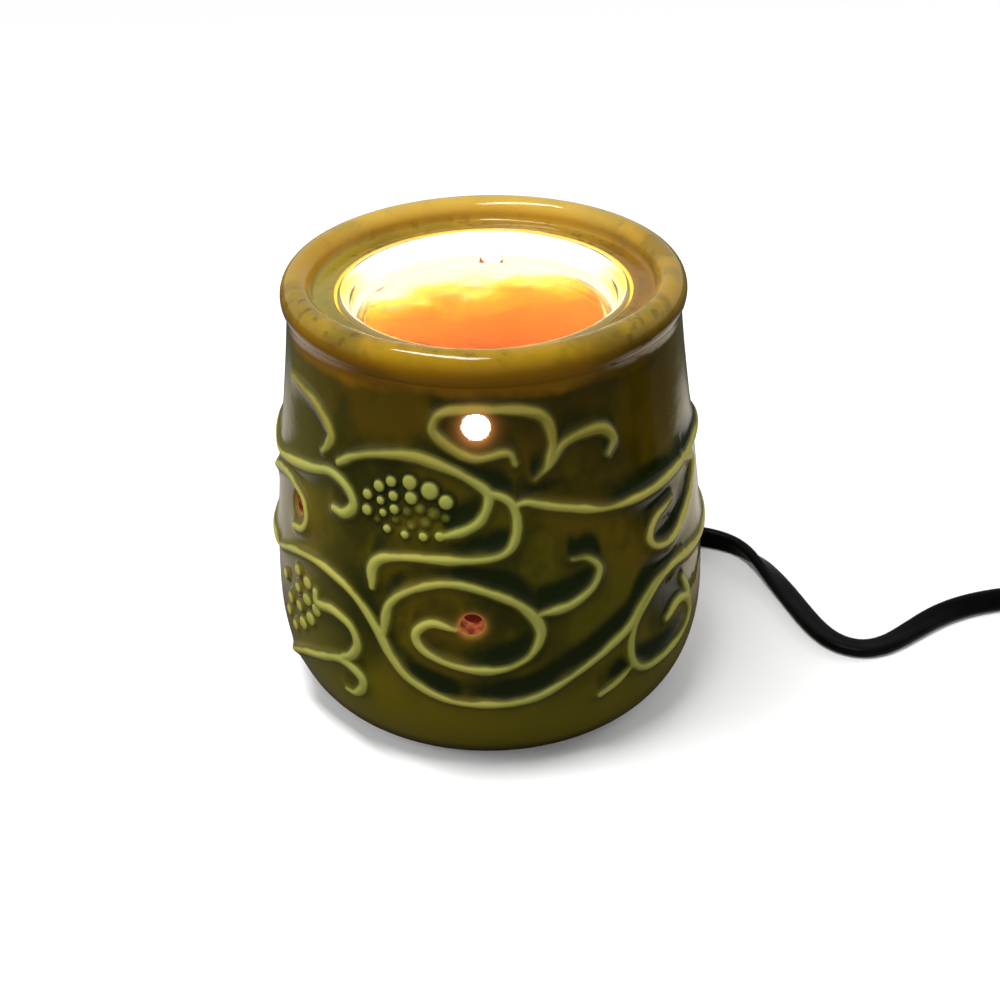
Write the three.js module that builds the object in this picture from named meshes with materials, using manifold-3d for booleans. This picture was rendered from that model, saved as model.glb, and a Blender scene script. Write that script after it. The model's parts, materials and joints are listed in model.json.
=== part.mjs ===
// Electric oil warmer: a glazed pot with a glass dish in its mouth and a small bulb under the dish.
// Millimetres, +Z up, origin on the table under the middle of the pot, front towards -Y.
// An azimuth is counted from the front (-Y) towards the right (+X).
import * as THREE from 'three';
import { mergeVertices } from 'three/addons/utils/BufferGeometryUtils.js';
import Module from 'manifold-3d';

const wasm = await Module();
wasm.setup();

// Fits and facets
const SEAT_GAP = 0.3;         // free space round a piece that sits in another
const BODY_SEGMENTS = 36;
const OUTER_WALL_STEPS = [5, 7];     // below and above the belly
const INNER_WALL_STEPS = [4, 5];
const HOLE_SEGMENTS = 12;
const DISH_SEGMENTS = 36;
const BULB_SEGMENTS = 20;
const SMALL_SEGMENTS = 16;
const CUT_OVERRUN = 2;        // how far a cutter runs past the wall it cuts

// Ceramic body
const BODY_TOP = 102;
const FOOT_RADIUS = 41.8;
const FOOT_RING_WIDTH = 10.8;
const FOOT_RECESS = 10.5;     // foot ring's underside up to the floor's underside
const FLOOR_THICKNESS = 4;
const BELLY_RADIUS = 49.8;
const BELLY_Z = 25;
const NECK_RADIUS = 43.6;
const NECK_Z = 92;
const WALL = 5;
const RIM_WIDTH = 7;
const RIM_HEIGHT = 8.4;
const RIM_OUTER_RADIUS = 44.6;
const LEDGE_DROP = 4.6;       // rim crest down to the ledge
const LEDGE_THICKNESS = 6;
const MOUTH_RADIUS = 32.6;
const SEAT_WIDTH = 1.4;
const SEAT_DEPTH = 2.4;
const FLOOR_CORNER = 6;

// The raised vine and the light holes are drawn on one half of a wall with its neck this high, and repeated
const DRAWN_NECK_Z = 92;
const PATTERN_REPEATS = 2;

// Pierced light holes: azimuth in degrees, height, radius
const LIGHT_HOLES = [
  [-3, 86, 2.9],
  [-5, 40.8, 2.5],
  [-61, 57.1, 2.5],
];

// Raised scroll vine: azimuth in degrees, height
const VINE = {
  leafLoop: [
    [7, 78], [5, 80.5], [-3, 79.5], [-9, 81.5], [-14, 85], [-12, 89], [-4, 90], [8, 89.5],
    [15, 87], [17, 81],
  ],
  leafCurl: [[12, 74], [16, 77], [20, 81], [26, 82.5], [32, 82], [35, 79], [33, 76]],
  seedLeaf: [
    [-43, 73], [-37, 76], [-30, 78], [-20, 79], [-10, 77], [-3, 74], [0, 71], [-2, 66],
    [-6, 63.5], [-11, 62],
  ],
  drop: [
    [0, 72], [5, 70], [7, 66], [6, 60.5], [2, 57.5], [-8, 56.5], [-20, 56], [-28, 54.5],
    [-31, 51.5], [-31, 47],
  ],
  highVine: [
    [10, 69.5], [23, 66], [32, 64], [45, 63.5], [60, 64], [75, 65], [90, 64.5], [101, 63.5],
    [117, 66.5], [127, 68.5], [134, 70], [140, 68.5], [143, 65], [140, 62], [136, 62],
  ],
  leftLeaf: [[-85, 56.5], [-75, 60.5], [-66, 62], [-58, 60], [-55, 56], [-57, 52.5], [-62, 51]],
  leftDrop: [[-68, 85.5], [-58, 85], [-51, 83], [-46, 79], [-47, 76], [-49, 74]],
  lowVine: [
    [-73, 41], [-62, 45], [-52, 47], [-43, 46], [-36, 43], [-30, 37], [-26, 31], [-21, 26],
    [-12, 22], [-1, 21], [10, 22], [20, 26], [30, 30.5], [37, 34], [41, 38.5], [47, 42],
    [55, 42.5], [65, 41.5], [80, 40.5], [107, 41],
  ],
  spiral: [
    [-28, 36], [-26, 44], [-19, 49], [-10, 51], [0, 49], [8, 45], [12, 39], [9, 33],
    [1, 30], [-9, 31], [-17, 34], [-19, 38], [-15, 41], [-9, 40],
  ],
  spiralBranch: [[12, 43], [20, 44], [26, 47], [28, 51], [25, 54], [21, 54.5]],
  lowLeaf: [[-51, 39], [-50, 36.5], [-44, 37], [-38, 35], [-36, 31], [-38, 27.5], [-41, 26]],
  footCurl: [
    [-69, 14.5], [-60, 19], [-50, 22.5], [-42, 25], [-36, 23], [-35, 20], [-38, 17], [-41, 17],
  ],
  rightCurl: [
    [44, 39], [39, 34.5], [37, 29], [38, 23.5], [43, 20.5], [51, 20.5], [59, 22.5], [63, 26],
    [61, 30.5], [56, 32], [51, 30],
  ],
  rightCurlTail: [[38, 23.5], [33, 20.5], [28, 18.5]],
  rightLeaf: [
    [64, 65], [72, 61.5], [68, 56.5], [62, 52], [55, 49], [48, 49.5], [45, 52.5], [48, 56.5],
    [55, 58.5],
  ],
};
const VINE_HEIGHT = 1.4;
const VINE_BASE = 4;          // width of a ridge where it meets the wall
const VINE_ROOT = 0.5;        // how deep its underside lies in the wall
const VINE_TIP = 0.5;         // share of the section that is left at a ridge's ends
const VINE_STEP = 8;          // length of one facet along a ridge

// Rubber feet
const FOOT_PAD_COUNT = 4;
const FOOT_PAD_RADIUS = 3.8;
const FOOT_PAD_HEIGHT = 1.5;

// Glass dish and oil
const GLASS = 1.6;
const DISH_DEPTH = 14;        // ledge down to the dish's underside
const DISH_FLOOR_RADIUS = 24.5;
const OIL_DEPTH = 5.5;

// Lampholder, its bracket and the threaded nipple
const NIPPLE_RADIUS = 5;
const NIPPLE_BORE = 3.6;
const NIPPLE_BELOW_NUT = 0.8;
const NUT_ACROSS_FLATS = 14;
const NUT_THICKNESS = 3;
const WASHER_RADIUS = 9;
const WASHER_THICKNESS = 1;
const BRACKET_STEEL = 1.2;
const BRACKET_WIDTH = 13;
const BRACKET_RISE = 16;
const HOLDER_RADIUS = 9.5;
const HOLDER_HEIGHT = 18.5;
const HOLDER_FLOOR = 2.5;
const HOLDER_ABOVE_NUT = 2.2;
const SHELL_RADIUS = 6.9;
const SHELL_STEEL = 0.5;
const SCREW_SHANK_RADIUS = 1.2;
const SCREW_HEAD_RADIUS = 2.2;
const SCREW_HEAD_HEIGHT = 1.2;
const WIRE_RADIUS = 0.9;

// Bulb
const BULB_LENGTH = 46;
const BULB_RADIUS = 13;
const BULB_GLASS = 0.8;
const CAP_RADIUS = 5.9;
const CAP_HEIGHT = 12.5;
const CAP_STEEL = 0.4;
const INSULATOR_HEIGHT = 2.6;
const TIP_RADIUS = 2.2;
const TIP_HEIGHT = 0.8;
const FILAMENT_SPAN = 11;
const FILAMENT_CURLS = 7;
const FILAMENT_CURL_RADIUS = 0.8;
const FILAMENT_WIRE_RADIUS = 0.22;
const LEAD_WIRE_RADIUS = 0.35;

// Flat twin flex
const FLEX_WIDTH = 5.6;
const FLEX_THICKNESS = 2.8;
const CORD_AZIMUTH = 143;     // where the cord leaves the foot
const CORD_EXIT_Z = 5.4;
const RELIEF_WIDTH = 8;
const RELIEF_HEIGHT = 7.4;
const RELIEF_REACH = 4.4;     // how far the strain relief stands out past the wall
const RELIEF_FLANGE = 2.4;

// The cord's way over the table: x, y, height of its underside, roll (0 lies flat, 90 stands on edge)
const LEAD_POINTS = [
  [32.6, 43.0, 1.9, 90],
  [37.3, 46.4, 0.6, 90],
  [44, 47.4, 0, 90],
  [51, 46.6, 0, 90],
  [58, 44.6, 0, 90],
  [64.6, 40.4, 0, 75],
  [69.4, 33.8, 0, 45],
  [72.5, 26.4, 0, 15],
  [75.2, 18.4, 0, 0],
  [77.6, 10.4, 0, 0],
  [80.2, 3, 0, 0],
  [84, -3, 0, 0],
  [90, -5.8, 0, 0],
  [96.5, -3.6, 0, 0],
  [103, 1.2, 0, 10],
  [110.5, 6.5, 0, 30],
  [119, 10.3, 0, 45],
  [128, 12.8, 0, 45],
  [137, 14.6, 0.8, 20],
];
const LEAD_STEPS = 54;

// Inline thumb-wheel switch, lying on the cord
const SWITCH_X = 172;
const SWITCH_Y = 15;
const SWITCH_LENGTH = 46;
const SWITCH_WIDTH = 22;
const SWITCH_HEIGHT = 15;
const SWITCH_EDGE = 1.6;
const SWITCH_CORNER = 7;
const WHEEL_RADIUS = 8.8;
const WHEEL_TEETH = 24;
const WHEEL_TOOTH = 0.5;
const WHEEL_THICKNESS = 5;
const WHEEL_PROUD = 3;        // how far the wheel stands out of the switch's side
const PIN_RADIUS = 1.5;
const PIN_MARGIN = 2.4;       // plastic left beyond each end of the pin
const SWITCH_SCREW_REACH = 14;

// Coil of spare cord, its tie and the plug
const COIL_X = 236;
const COIL_OUTER_RADIUS = 35;
const COIL_PITCH = 3.4;
const COIL_TURNS = 3;         // in each of the two layers
const COIL_STEPS = 24;        // in each turn
const COIL_DIP = 1.7;         // extra step inwards while the cord climbs to the upper layer
const LAYER_GAP = 0.5;
const TIE_WIDTH = 6;
const TIE_THICKNESS = 0.8;
const PLUG_X = 178;
const PLUG_LENGTH = 24;
const PLUG_WIDTH = 21;
const PLUG_HEIGHT = 13;
const PLUG_NECK = 8.5;
const BLADE_SPACING = 12.7;
const BLADE_LENGTH = 17.5;
const BLADE_WIDTH = 6.35;
const BLADE_THICKNESS = 1.5;

// Heights that follow from the sizes above
const BODY_FOOT_Z = FOOT_PAD_HEIGHT;
const FLOOR_UNDER_Z = BODY_FOOT_Z + FOOT_RECESS;
const FLOOR_Z = FLOOR_UNDER_Z + FLOOR_THICKNESS;
const LEDGE_Z = BODY_TOP - LEDGE_DROP;
const SEAT_Z = LEDGE_Z - SEAT_DEPTH;
const THROAT_RADIUS = MOUTH_RADIUS - SEAT_WIDTH;
const DISH_UNDER_Z = LEDGE_Z - DISH_DEPTH;
const FOOT_RECESS_RADIUS = FOOT_RADIUS - FOOT_RING_WIDTH;
const NUT_Z = FLOOR_UNDER_Z - WASHER_THICKNESS - NUT_THICKNESS;
const BRACKET_TOP_Z = FLOOR_Z + BRACKET_STEEL;
const HOLDER_Z = BRACKET_TOP_Z + NUT_THICKNESS + HOLDER_ABOVE_NUT;
const HOLDER_TOP_Z = HOLDER_Z + HOLDER_HEIGHT;
const CONTACT_Z = HOLDER_Z + HOLDER_FLOOR;
const CONTACT_STEEL = 0.6;
const CONTACT_RISE = 2;
const BULB_Z = CONTACT_Z + CONTACT_RISE + SEAT_GAP;
const CAP_Z = BULB_Z + TIP_HEIGHT + INSULATOR_HEIGHT;
const CAP_TOP_Z = CAP_Z + CAP_HEIGHT;
const BULB_TOP_Z = BULB_Z + BULB_LENGTH;
const GLOBE_Z = BULB_TOP_Z - BULB_RADIUS;

const warmer = new THREE.Group();
warmer.name = 'electric_oil_warmer';

function add(name, geometry) {
  const mesh = new THREE.Mesh(geometry, new THREE.MeshStandardMaterial());
  mesh.name = name;
  warmer.add(mesh);
}

// Joining and cutting

function toSolid(geometry) {
  const bare = new THREE.BufferGeometry();
  bare.setAttribute('position', geometry.getAttribute('position'));
  bare.setIndex(geometry.getIndex());
  const welded = mergeVertices(bare, 1e-4);
  const vertProperties = new Float32Array(welded.getAttribute('position').array);
  const triVerts = new Uint32Array(welded.getIndex().array);
  return new wasm.Manifold(new wasm.Mesh({ numProp: 3, vertProperties, triVerts }));
}

function toGeometry(solid) {
  const mesh = solid.getMesh();
  const geometry = new THREE.BufferGeometry();
  geometry.setAttribute('position', new THREE.BufferAttribute(new Float32Array(mesh.vertProperties), 3));
  geometry.setIndex(new THREE.BufferAttribute(new Uint32Array(mesh.triVerts), 1));
  return geometry;
}

function join(geometry, others) {
  let solid = toSolid(geometry);
  for (const other of others) {
    solid = solid.add(toSolid(other));
  }
  return toGeometry(solid);
}

function cut(geometry, cutters) {
  let solid = toSolid(geometry);
  for (const cutter of cutters) {
    solid = solid.subtract(toSolid(cutter));
  }
  return toGeometry(solid);
}

// Basic forms

// A profile of [radius, height] points turned about Z, its outside walked from the bottom up.
function turned(profile, segments) {
  const points = profile.map(([radius, height]) => new THREE.Vector2(radius, height));
  return new THREE.LatheGeometry(points, segments).rotateX(Math.PI / 2);
}

function rod(radius, bottom, top, segments = SMALL_SEGMENTS) {
  return turned([[0, bottom], [radius, bottom], [radius, top], [0, top]], segments);
}

function tube(outer, inner, bottom, top, segments = SMALL_SEGMENTS) {
  const profile = [[inner, bottom], [outer, bottom], [outer, top], [inner, top], [inner, bottom]];
  return turned(profile, segments);
}

function block(x0, x1, y0, y1, z0, z1) {
  const geometry = new THREE.BoxGeometry(x1 - x0, y1 - y0, z1 - z0);
  return geometry.translate((x0 + x1) / 2, (y0 + y1) / 2, (z0 + z1) / 2);
}

function prism(outline, bottom, height) {
  const shape = new THREE.Shape(outline.map(([x, y]) => new THREE.Vector2(x, y)));
  return new THREE.ExtrudeGeometry(shape, { depth: height, bevelEnabled: false }).translate(0, 0, bottom);
}

function hexagon(acrossFlats) {
  const radius = acrossFlats / Math.sqrt(3);
  const corners = [];
  for (let i = 0; i < 6; i += 1) {
    const angle = (i * Math.PI) / 3;
    corners.push([radius * Math.cos(angle), radius * Math.sin(angle)]);
  }
  return corners;
}

// Corners of a rounded rectangle, walked anticlockwise.
function roundedRectangle(width, height, corner, steps = 3) {
  const points = [];
  const centres = [[1, 1], [-1, 1], [-1, -1], [1, -1]];
  centres.forEach(([signX, signY], quarter) => {
    for (let i = 0; i <= steps; i += 1) {
      const angle = ((quarter + i / steps) * Math.PI) / 2;
      const x = signX * (width / 2 - corner) + corner * Math.cos(angle);
      const y = signY * (height / 2 - corner) + corner * Math.sin(angle);
      points.push([x, y]);
    }
  });
  return points;
}

// A closed skin through rings of equal count, capped by a fan at each end.
function loft(rings) {
  const count = rings[0].length;
  const positions = [];
  const index = [];
  for (const ring of rings) {
    ring.forEach((point) => positions.push(point.x, point.y, point.z));
  }
  for (let i = 0; i + 1 < rings.length; i += 1) {
    for (let j = 0; j < count; j += 1) {
      const a = i * count + j;
      const b = i * count + ((j + 1) % count);
      index.push(a, b, a + count, b, b + count, a + count);
    }
  }
  [0, rings.length - 1].forEach((end) => {
    const middle = positions.length / 3;
    const centre = new THREE.Vector3();
    rings[end].forEach((point) => centre.add(point));
    centre.divideScalar(count);
    positions.push(centre.x, centre.y, centre.z);
    for (let j = 0; j < count; j += 1) {
      const a = end * count + j;
      const b = end * count + ((j + 1) % count);
      index.push(...(end === 0 ? [middle, b, a] : [middle, a, b]));
    }
  });
  const geometry = new THREE.BufferGeometry();
  geometry.setAttribute('position', new THREE.BufferAttribute(new Float32Array(positions), 3));
  geometry.setIndex(index);
  return geometry;
}

// A flat outline [x, y] swept along points; across[i] is where the outline's x points there.
function sweep(outline, points, across) {
  const rings = points.map((point, i) => {
    const before = points[Math.max(i - 1, 0)];
    const after = points[Math.min(i + 1, points.length - 1)];
    const along = after.clone().sub(before).normalize();
    const up = new THREE.Vector3().crossVectors(along, across[i]).normalize();
    const side = new THREE.Vector3().crossVectors(up, along).normalize();
    return outline.map(([x, y]) => point.clone().addScaledVector(side, x).addScaledVector(up, y));
  });
  return loft(rings);
}

function circle(radius, sides) {
  const points = [];
  for (let i = 0; i < sides; i += 1) {
    const angle = (2 * Math.PI * i) / sides;
    points.push([radius * Math.cos(angle), radius * Math.sin(angle)]);
  }
  return points;
}

function roundWire(radius, sides, points) {
  const away = points.map(() => new THREE.Vector3(0.1, 1, 0.2));
  return sweep(circle(radius, sides), points, away);
}

// Ceramic body

function bezierPoints(start, pullStart, pullEnd, end, steps) {
  const corners = [start, pullStart, pullEnd, end].map(([r, z]) => new THREE.Vector2(r, z));
  return new THREE.CubicBezierCurve(...corners).getPoints(steps).map((point) => [point.x, point.y]);
}

function outerWall(lowerSteps, upperSteps) {
  const belly = [BELLY_RADIUS, BELLY_Z];
  const spread = BELLY_RADIUS - FOOT_RADIUS;
  const rise = BELLY_Z - BODY_FOOT_Z;
  const lower = bezierPoints(
    [FOOT_RADIUS, BODY_FOOT_Z],
    [FOOT_RADIUS + 0.53 * spread, BODY_FOOT_Z + 0.15 * rise],
    [BELLY_RADIUS, BELLY_Z - 0.55 * rise],
    belly,
    lowerSteps,
  );
  const taper = BELLY_RADIUS - NECK_RADIUS;
  const height = NECK_Z - BELLY_Z;
  const upper = bezierPoints(
    belly,
    [BELLY_RADIUS, BELLY_Z + 0.33 * height],
    [NECK_RADIUS + 0.23 * taper, NECK_Z - 0.27 * height],
    [NECK_RADIUS, NECK_Z],
    upperSteps,
  );
  return [...lower, ...upper.slice(1)];
}

// The rolled rim, walked from the groove under it, over the crest, to the ledge.
function rimBead() {
  const middle = [RIM_OUTER_RADIUS - RIM_WIDTH / 2, BODY_TOP - RIM_HEIGHT / 2];
  const points = [];
  for (let degrees = -54; degrees <= 162; degrees += 36) {
    const angle = THREE.MathUtils.degToRad(degrees);
    const radius = middle[0] + (RIM_WIDTH / 2) * Math.cos(angle);
    points.push([radius, middle[1] + (RIM_HEIGHT / 2) * Math.sin(angle)]);
  }
  return points;
}

function ledgeAndSeat() {
  const ledgeUnder = LEDGE_Z - LEDGE_THICKNESS;
  return [
    [RIM_OUTER_RADIUS - RIM_WIDTH, LEDGE_Z],
    [MOUTH_RADIUS + 0.4, LEDGE_Z],
    [MOUTH_RADIUS, LEDGE_Z - 0.4],
    [MOUTH_RADIUS, SEAT_Z],
    [THROAT_RADIUS, SEAT_Z],
    [THROAT_RADIUS, ledgeUnder],
  ];
}

function innerWall() {
  const ledgeUnder = LEDGE_Z - LEDGE_THICKNESS;
  const neckInside = NECK_RADIUS - WALL;
  const bottom = FLOOR_Z + FLOOR_CORNER;
  const points = [
    [neckInside - 2, ledgeUnder],
    [neckInside, ledgeUnder - 2],
  ];
  for (const [r, z] of outerWall(...INNER_WALL_STEPS).reverse()) {
    if (z < ledgeUnder - 6 && z > bottom) points.push([r - WALL, z]);
  }
  const cornerRadius = points[points.length - 1][0];
  for (const degrees of [0, 45, 90]) {
    const angle = THREE.MathUtils.degToRad(degrees);
    const r = cornerRadius - FLOOR_CORNER * (1 - Math.cos(angle));
    points.push([r, bottom - FLOOR_CORNER * Math.sin(angle)]);
  }
  return points;
}

function bodyProfile() {
  const nippleHole = NIPPLE_RADIUS + SEAT_GAP;
  const underside = [
    [nippleHole, FLOOR_Z],
    [nippleHole, FLOOR_UNDER_Z],
    [FOOT_RECESS_RADIUS, FLOOR_UNDER_Z],
    [FOOT_RECESS_RADIUS, BODY_FOOT_Z],
    [FOOT_RADIUS, BODY_FOOT_Z],
  ];
  const outside = [...outerWall(...OUTER_WALL_STEPS), ...rimBead()];
  return [...outside, ...ledgeAndSeat(), ...innerWall(), ...underside];
}

function onWall(drawnHeight) {
  return (drawnHeight * NECK_Z) / DRAWN_NECK_Z;
}

function wallRadius(height) {
  const wall = outerWall(...OUTER_WALL_STEPS);
  const after = Math.max(1, wall.findIndex(([, z]) => z >= Math.min(height, NECK_Z)));
  const [lowRadius, lowZ] = wall[after - 1];
  const [highRadius, highZ] = wall[after];
  return THREE.MathUtils.lerp(lowRadius, highRadius, (height - lowZ) / (highZ - lowZ));
}

// Where a point of the unrolled wall lies on the pot, so far out from its surface.
function wrapped(along, height, out) {
  const azimuth = along / BELLY_RADIUS;
  const radius = wallRadius(height) + out;
  return new THREE.Vector3(radius * Math.sin(azimuth), -radius * Math.cos(azimuth), height);
}

// A low ridge along a smooth line, drawn on the unrolled wall and narrowed at both ends.
function vineRidge(stops) {
  const drawn = stops.map(([azimuth, height]) => {
    return new THREE.Vector3(THREE.MathUtils.degToRad(azimuth) * BELLY_RADIUS, onWall(height), 0);
  });
  const line = new THREE.CatmullRomCurve3(drawn);
  const steps = Math.max(3, Math.round(line.getLength() / VINE_STEP));
  const root = (VINE_BASE / 2) * (1 + VINE_ROOT / VINE_HEIGHT);
  const section = [[-root, -VINE_ROOT], [root, -VINE_ROOT], [0, VINE_HEIGHT]];
  const rings = [];
  for (let i = 0; i <= steps; i += 1) {
    const point = line.getPointAt(i / steps);
    const along = line.getTangentAt(i / steps);
    const share = i === 0 || i === steps ? VINE_TIP : 1;
    rings.push(section.map(([across, out]) => {
      const side = across * share;
      return wrapped(point.x - side * along.y, point.y + side * along.x, out * share);
    }));
  }
  return loft(rings);
}

function vineRidges() {
  const ridges = [];
  for (let copy = 0; copy < PATTERN_REPEATS; copy += 1) {
    for (const stops of Object.values(VINE)) {
      ridges.push(vineRidge(stops).rotateZ((2 * Math.PI * copy) / PATTERN_REPEATS));
    }
  }
  return ridges;
}

function lightHoleCutters() {
  const inside = NECK_RADIUS - WALL - 2 * CUT_OVERRUN;
  const outside = BELLY_RADIUS + CUT_OVERRUN;
  const cutters = [];
  for (let copy = 0; copy < PATTERN_REPEATS; copy += 1) {
    for (const [azimuth, height, radius] of LIGHT_HOLES) {
      const cutter = new THREE.CylinderGeometry(radius, radius, outside - inside, HOLE_SEGMENTS);
      cutter.translate(0, -(inside + outside) / 2, onWall(height));
      cutter.rotateZ(THREE.MathUtils.degToRad(azimuth + (360 * copy) / PATTERN_REPEATS));
      cutters.push(cutter);
    }
  }
  return cutters;
}

// Turns a piece built along +X to the azimuth at which the cord leaves.
function towardsCord(geometry) {
  return geometry.rotateZ(THREE.MathUtils.degToRad(CORD_AZIMUTH - 90));
}

function cordNotch() {
  const halfWidth = RELIEF_WIDTH / 2 + SEAT_GAP;
  const top = CORD_EXIT_Z + RELIEF_HEIGHT / 2 + SEAT_GAP;
  const inside = FOOT_RECESS_RADIUS - CUT_OVERRUN;
  const outside = BELLY_RADIUS + CUT_OVERRUN;
  return towardsCord(block(inside, outside, -halfWidth, halfWidth, BODY_FOOT_Z - CUT_OVERRUN, top));
}

function buildBody() {
  const pot = join(turned(bodyProfile(), BODY_SEGMENTS), vineRidges());
  add('ceramic_body', cut(pot, [...lightHoleCutters(), cordNotch()]));
  const padReach = FOOT_RADIUS - FOOT_RING_WIDTH / 2;
  for (let i = 0; i < FOOT_PAD_COUNT; i += 1) {
    const pad = turned(
      [
        [0, 0],
        [FOOT_PAD_RADIUS - 0.5, 0],
        [FOOT_PAD_RADIUS, FOOT_PAD_HEIGHT / 2],
        [FOOT_PAD_RADIUS, FOOT_PAD_HEIGHT],
        [0, FOOT_PAD_HEIGHT],
      ],
      SMALL_SEGMENTS,
    );
    const azimuth = CORD_AZIMUTH + (360 * (i + 0.5)) / FOOT_PAD_COUNT;
    pad.translate(0, -padReach, 0).rotateZ(THREE.MathUtils.degToRad(azimuth));
    add(`rubber_foot_${i + 1}`, pad);
  }
}

// Glass dish and oil

// The bowl's inner face below the seat, from the wall down to the middle of the floor.
function bowlInside(shrink) {
  const wall = THROAT_RADIUS - SEAT_GAP - GLASS - shrink;
  const floor = DISH_UNDER_Z + GLASS + shrink;
  const side = bezierPoints(
    [wall, SEAT_Z],
    [wall - 0.8, SEAT_Z - 6],
    [DISH_FLOOR_RADIUS + 4 - shrink, floor],
    [DISH_FLOOR_RADIUS - 3 - shrink, floor],
    8,
  );
  return [...side, [0, floor]];
}

function buildDish() {
  const flange = MOUTH_RADIUS - SEAT_GAP;
  const inside = bowlInside(0);
  const outside = bowlInside(-GLASS).reverse();
  const lip = [
    [flange, SEAT_Z],
    [flange, LEDGE_Z - 0.5],
    [flange - 0.5, LEDGE_Z],
    [THROAT_RADIUS, LEDGE_Z],
    [THROAT_RADIUS - 0.8, LEDGE_Z - 0.4],
  ];
  add('glass_dish', turned([...outside, ...lip, ...inside], DISH_SEGMENTS));

  const level = DISH_UNDER_Z + GLASS + OIL_DEPTH;
  const bowl = bowlInside(SEAT_GAP);
  const bed = bowl.filter(([, z]) => z < level).reverse();
  const rim = bowl.filter(([, z]) => z >= level).pop();
  const share = (level - bed[bed.length - 1][1]) / (rim[1] - bed[bed.length - 1][1]);
  const edge = THREE.MathUtils.lerp(bed[bed.length - 1][0], rim[0], share);
  add('scented_oil', turned([...bed, [edge, level], [0, level]], DISH_SEGMENTS));
}

// Lampholder and what holds it

function buildNipple() {
  const bore = NIPPLE_RADIUS + SEAT_GAP;
  const top = BRACKET_TOP_Z + NUT_THICKNESS + 0.6;
  add('holder_nipple', tube(NIPPLE_RADIUS, NIPPLE_BORE, NUT_Z - NIPPLE_BELOW_NUT, top));
  const washer = tube(WASHER_RADIUS, bore, FLOOR_UNDER_Z - WASHER_THICKNESS, FLOOR_UNDER_Z);
  add('nipple_washer', washer);
  const heights = { nipple_nut_lower: NUT_Z, nipple_nut_upper: BRACKET_TOP_Z };
  for (const [name, bottom] of Object.entries(heights)) {
    const nut = prism(hexagon(NUT_ACROSS_FLATS), bottom, NUT_THICKNESS);
    add(name, cut(nut, [rod(bore, bottom - CUT_OVERRUN, bottom + NUT_THICKNESS + CUT_OVERRUN)]));
  }
}

function screwHole(radius, x0, x1, height) {
  const hole = new THREE.CylinderGeometry(radius, radius, x1 - x0, 12).rotateZ(Math.PI / 2);
  return hole.translate((x0 + x1) / 2, 0, height);
}

function buildBracket() {
  const inner = HOLDER_RADIUS + SEAT_GAP;
  const outer = inner + BRACKET_STEEL;
  const legTop = FLOOR_Z + BRACKET_RISE;
  const screwZ = legTop - 4;
  const strap = [
    [-outer, FLOOR_Z],
    [outer, FLOOR_Z],
    [outer, legTop],
    [inner, legTop],
    [inner, BRACKET_TOP_Z],
    [-inner, BRACKET_TOP_Z],
    [-inner, legTop],
    [-outer, legTop],
  ];
  const stirrup = prism(strap, -BRACKET_WIDTH / 2, BRACKET_WIDTH).rotateX(Math.PI / 2);
  const nippleHole = rod(NIPPLE_RADIUS + SEAT_GAP, FLOOR_Z - CUT_OVERRUN, BRACKET_TOP_Z + CUT_OVERRUN);
  const legHole = screwHole(SCREW_SHANK_RADIUS + SEAT_GAP, -outer - CUT_OVERRUN, outer + CUT_OVERRUN, screwZ);
  add('holder_bracket', cut(stirrup, [nippleHole, legHole]));

  const shankTip = SHELL_RADIUS + 3 * SEAT_GAP;
  for (const [name, side] of [['bracket_screw_1', 1], ['bracket_screw_2', -1]]) {
    const head = outer + SEAT_GAP;
    const screw = turned(
      [
        [0, shankTip],
        [SCREW_SHANK_RADIUS, shankTip],
        [SCREW_SHANK_RADIUS, head],
        [SCREW_HEAD_RADIUS, head],
        [SCREW_HEAD_RADIUS * 0.8, head + SCREW_HEAD_HEIGHT],
        [0, head + SCREW_HEAD_HEIGHT],
      ],
      12,
    );
    screw.rotateY(side * (Math.PI / 2)).translate(0, 0, screwZ);
    add(name, screw);
  }
  return screwZ;
}

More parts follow.
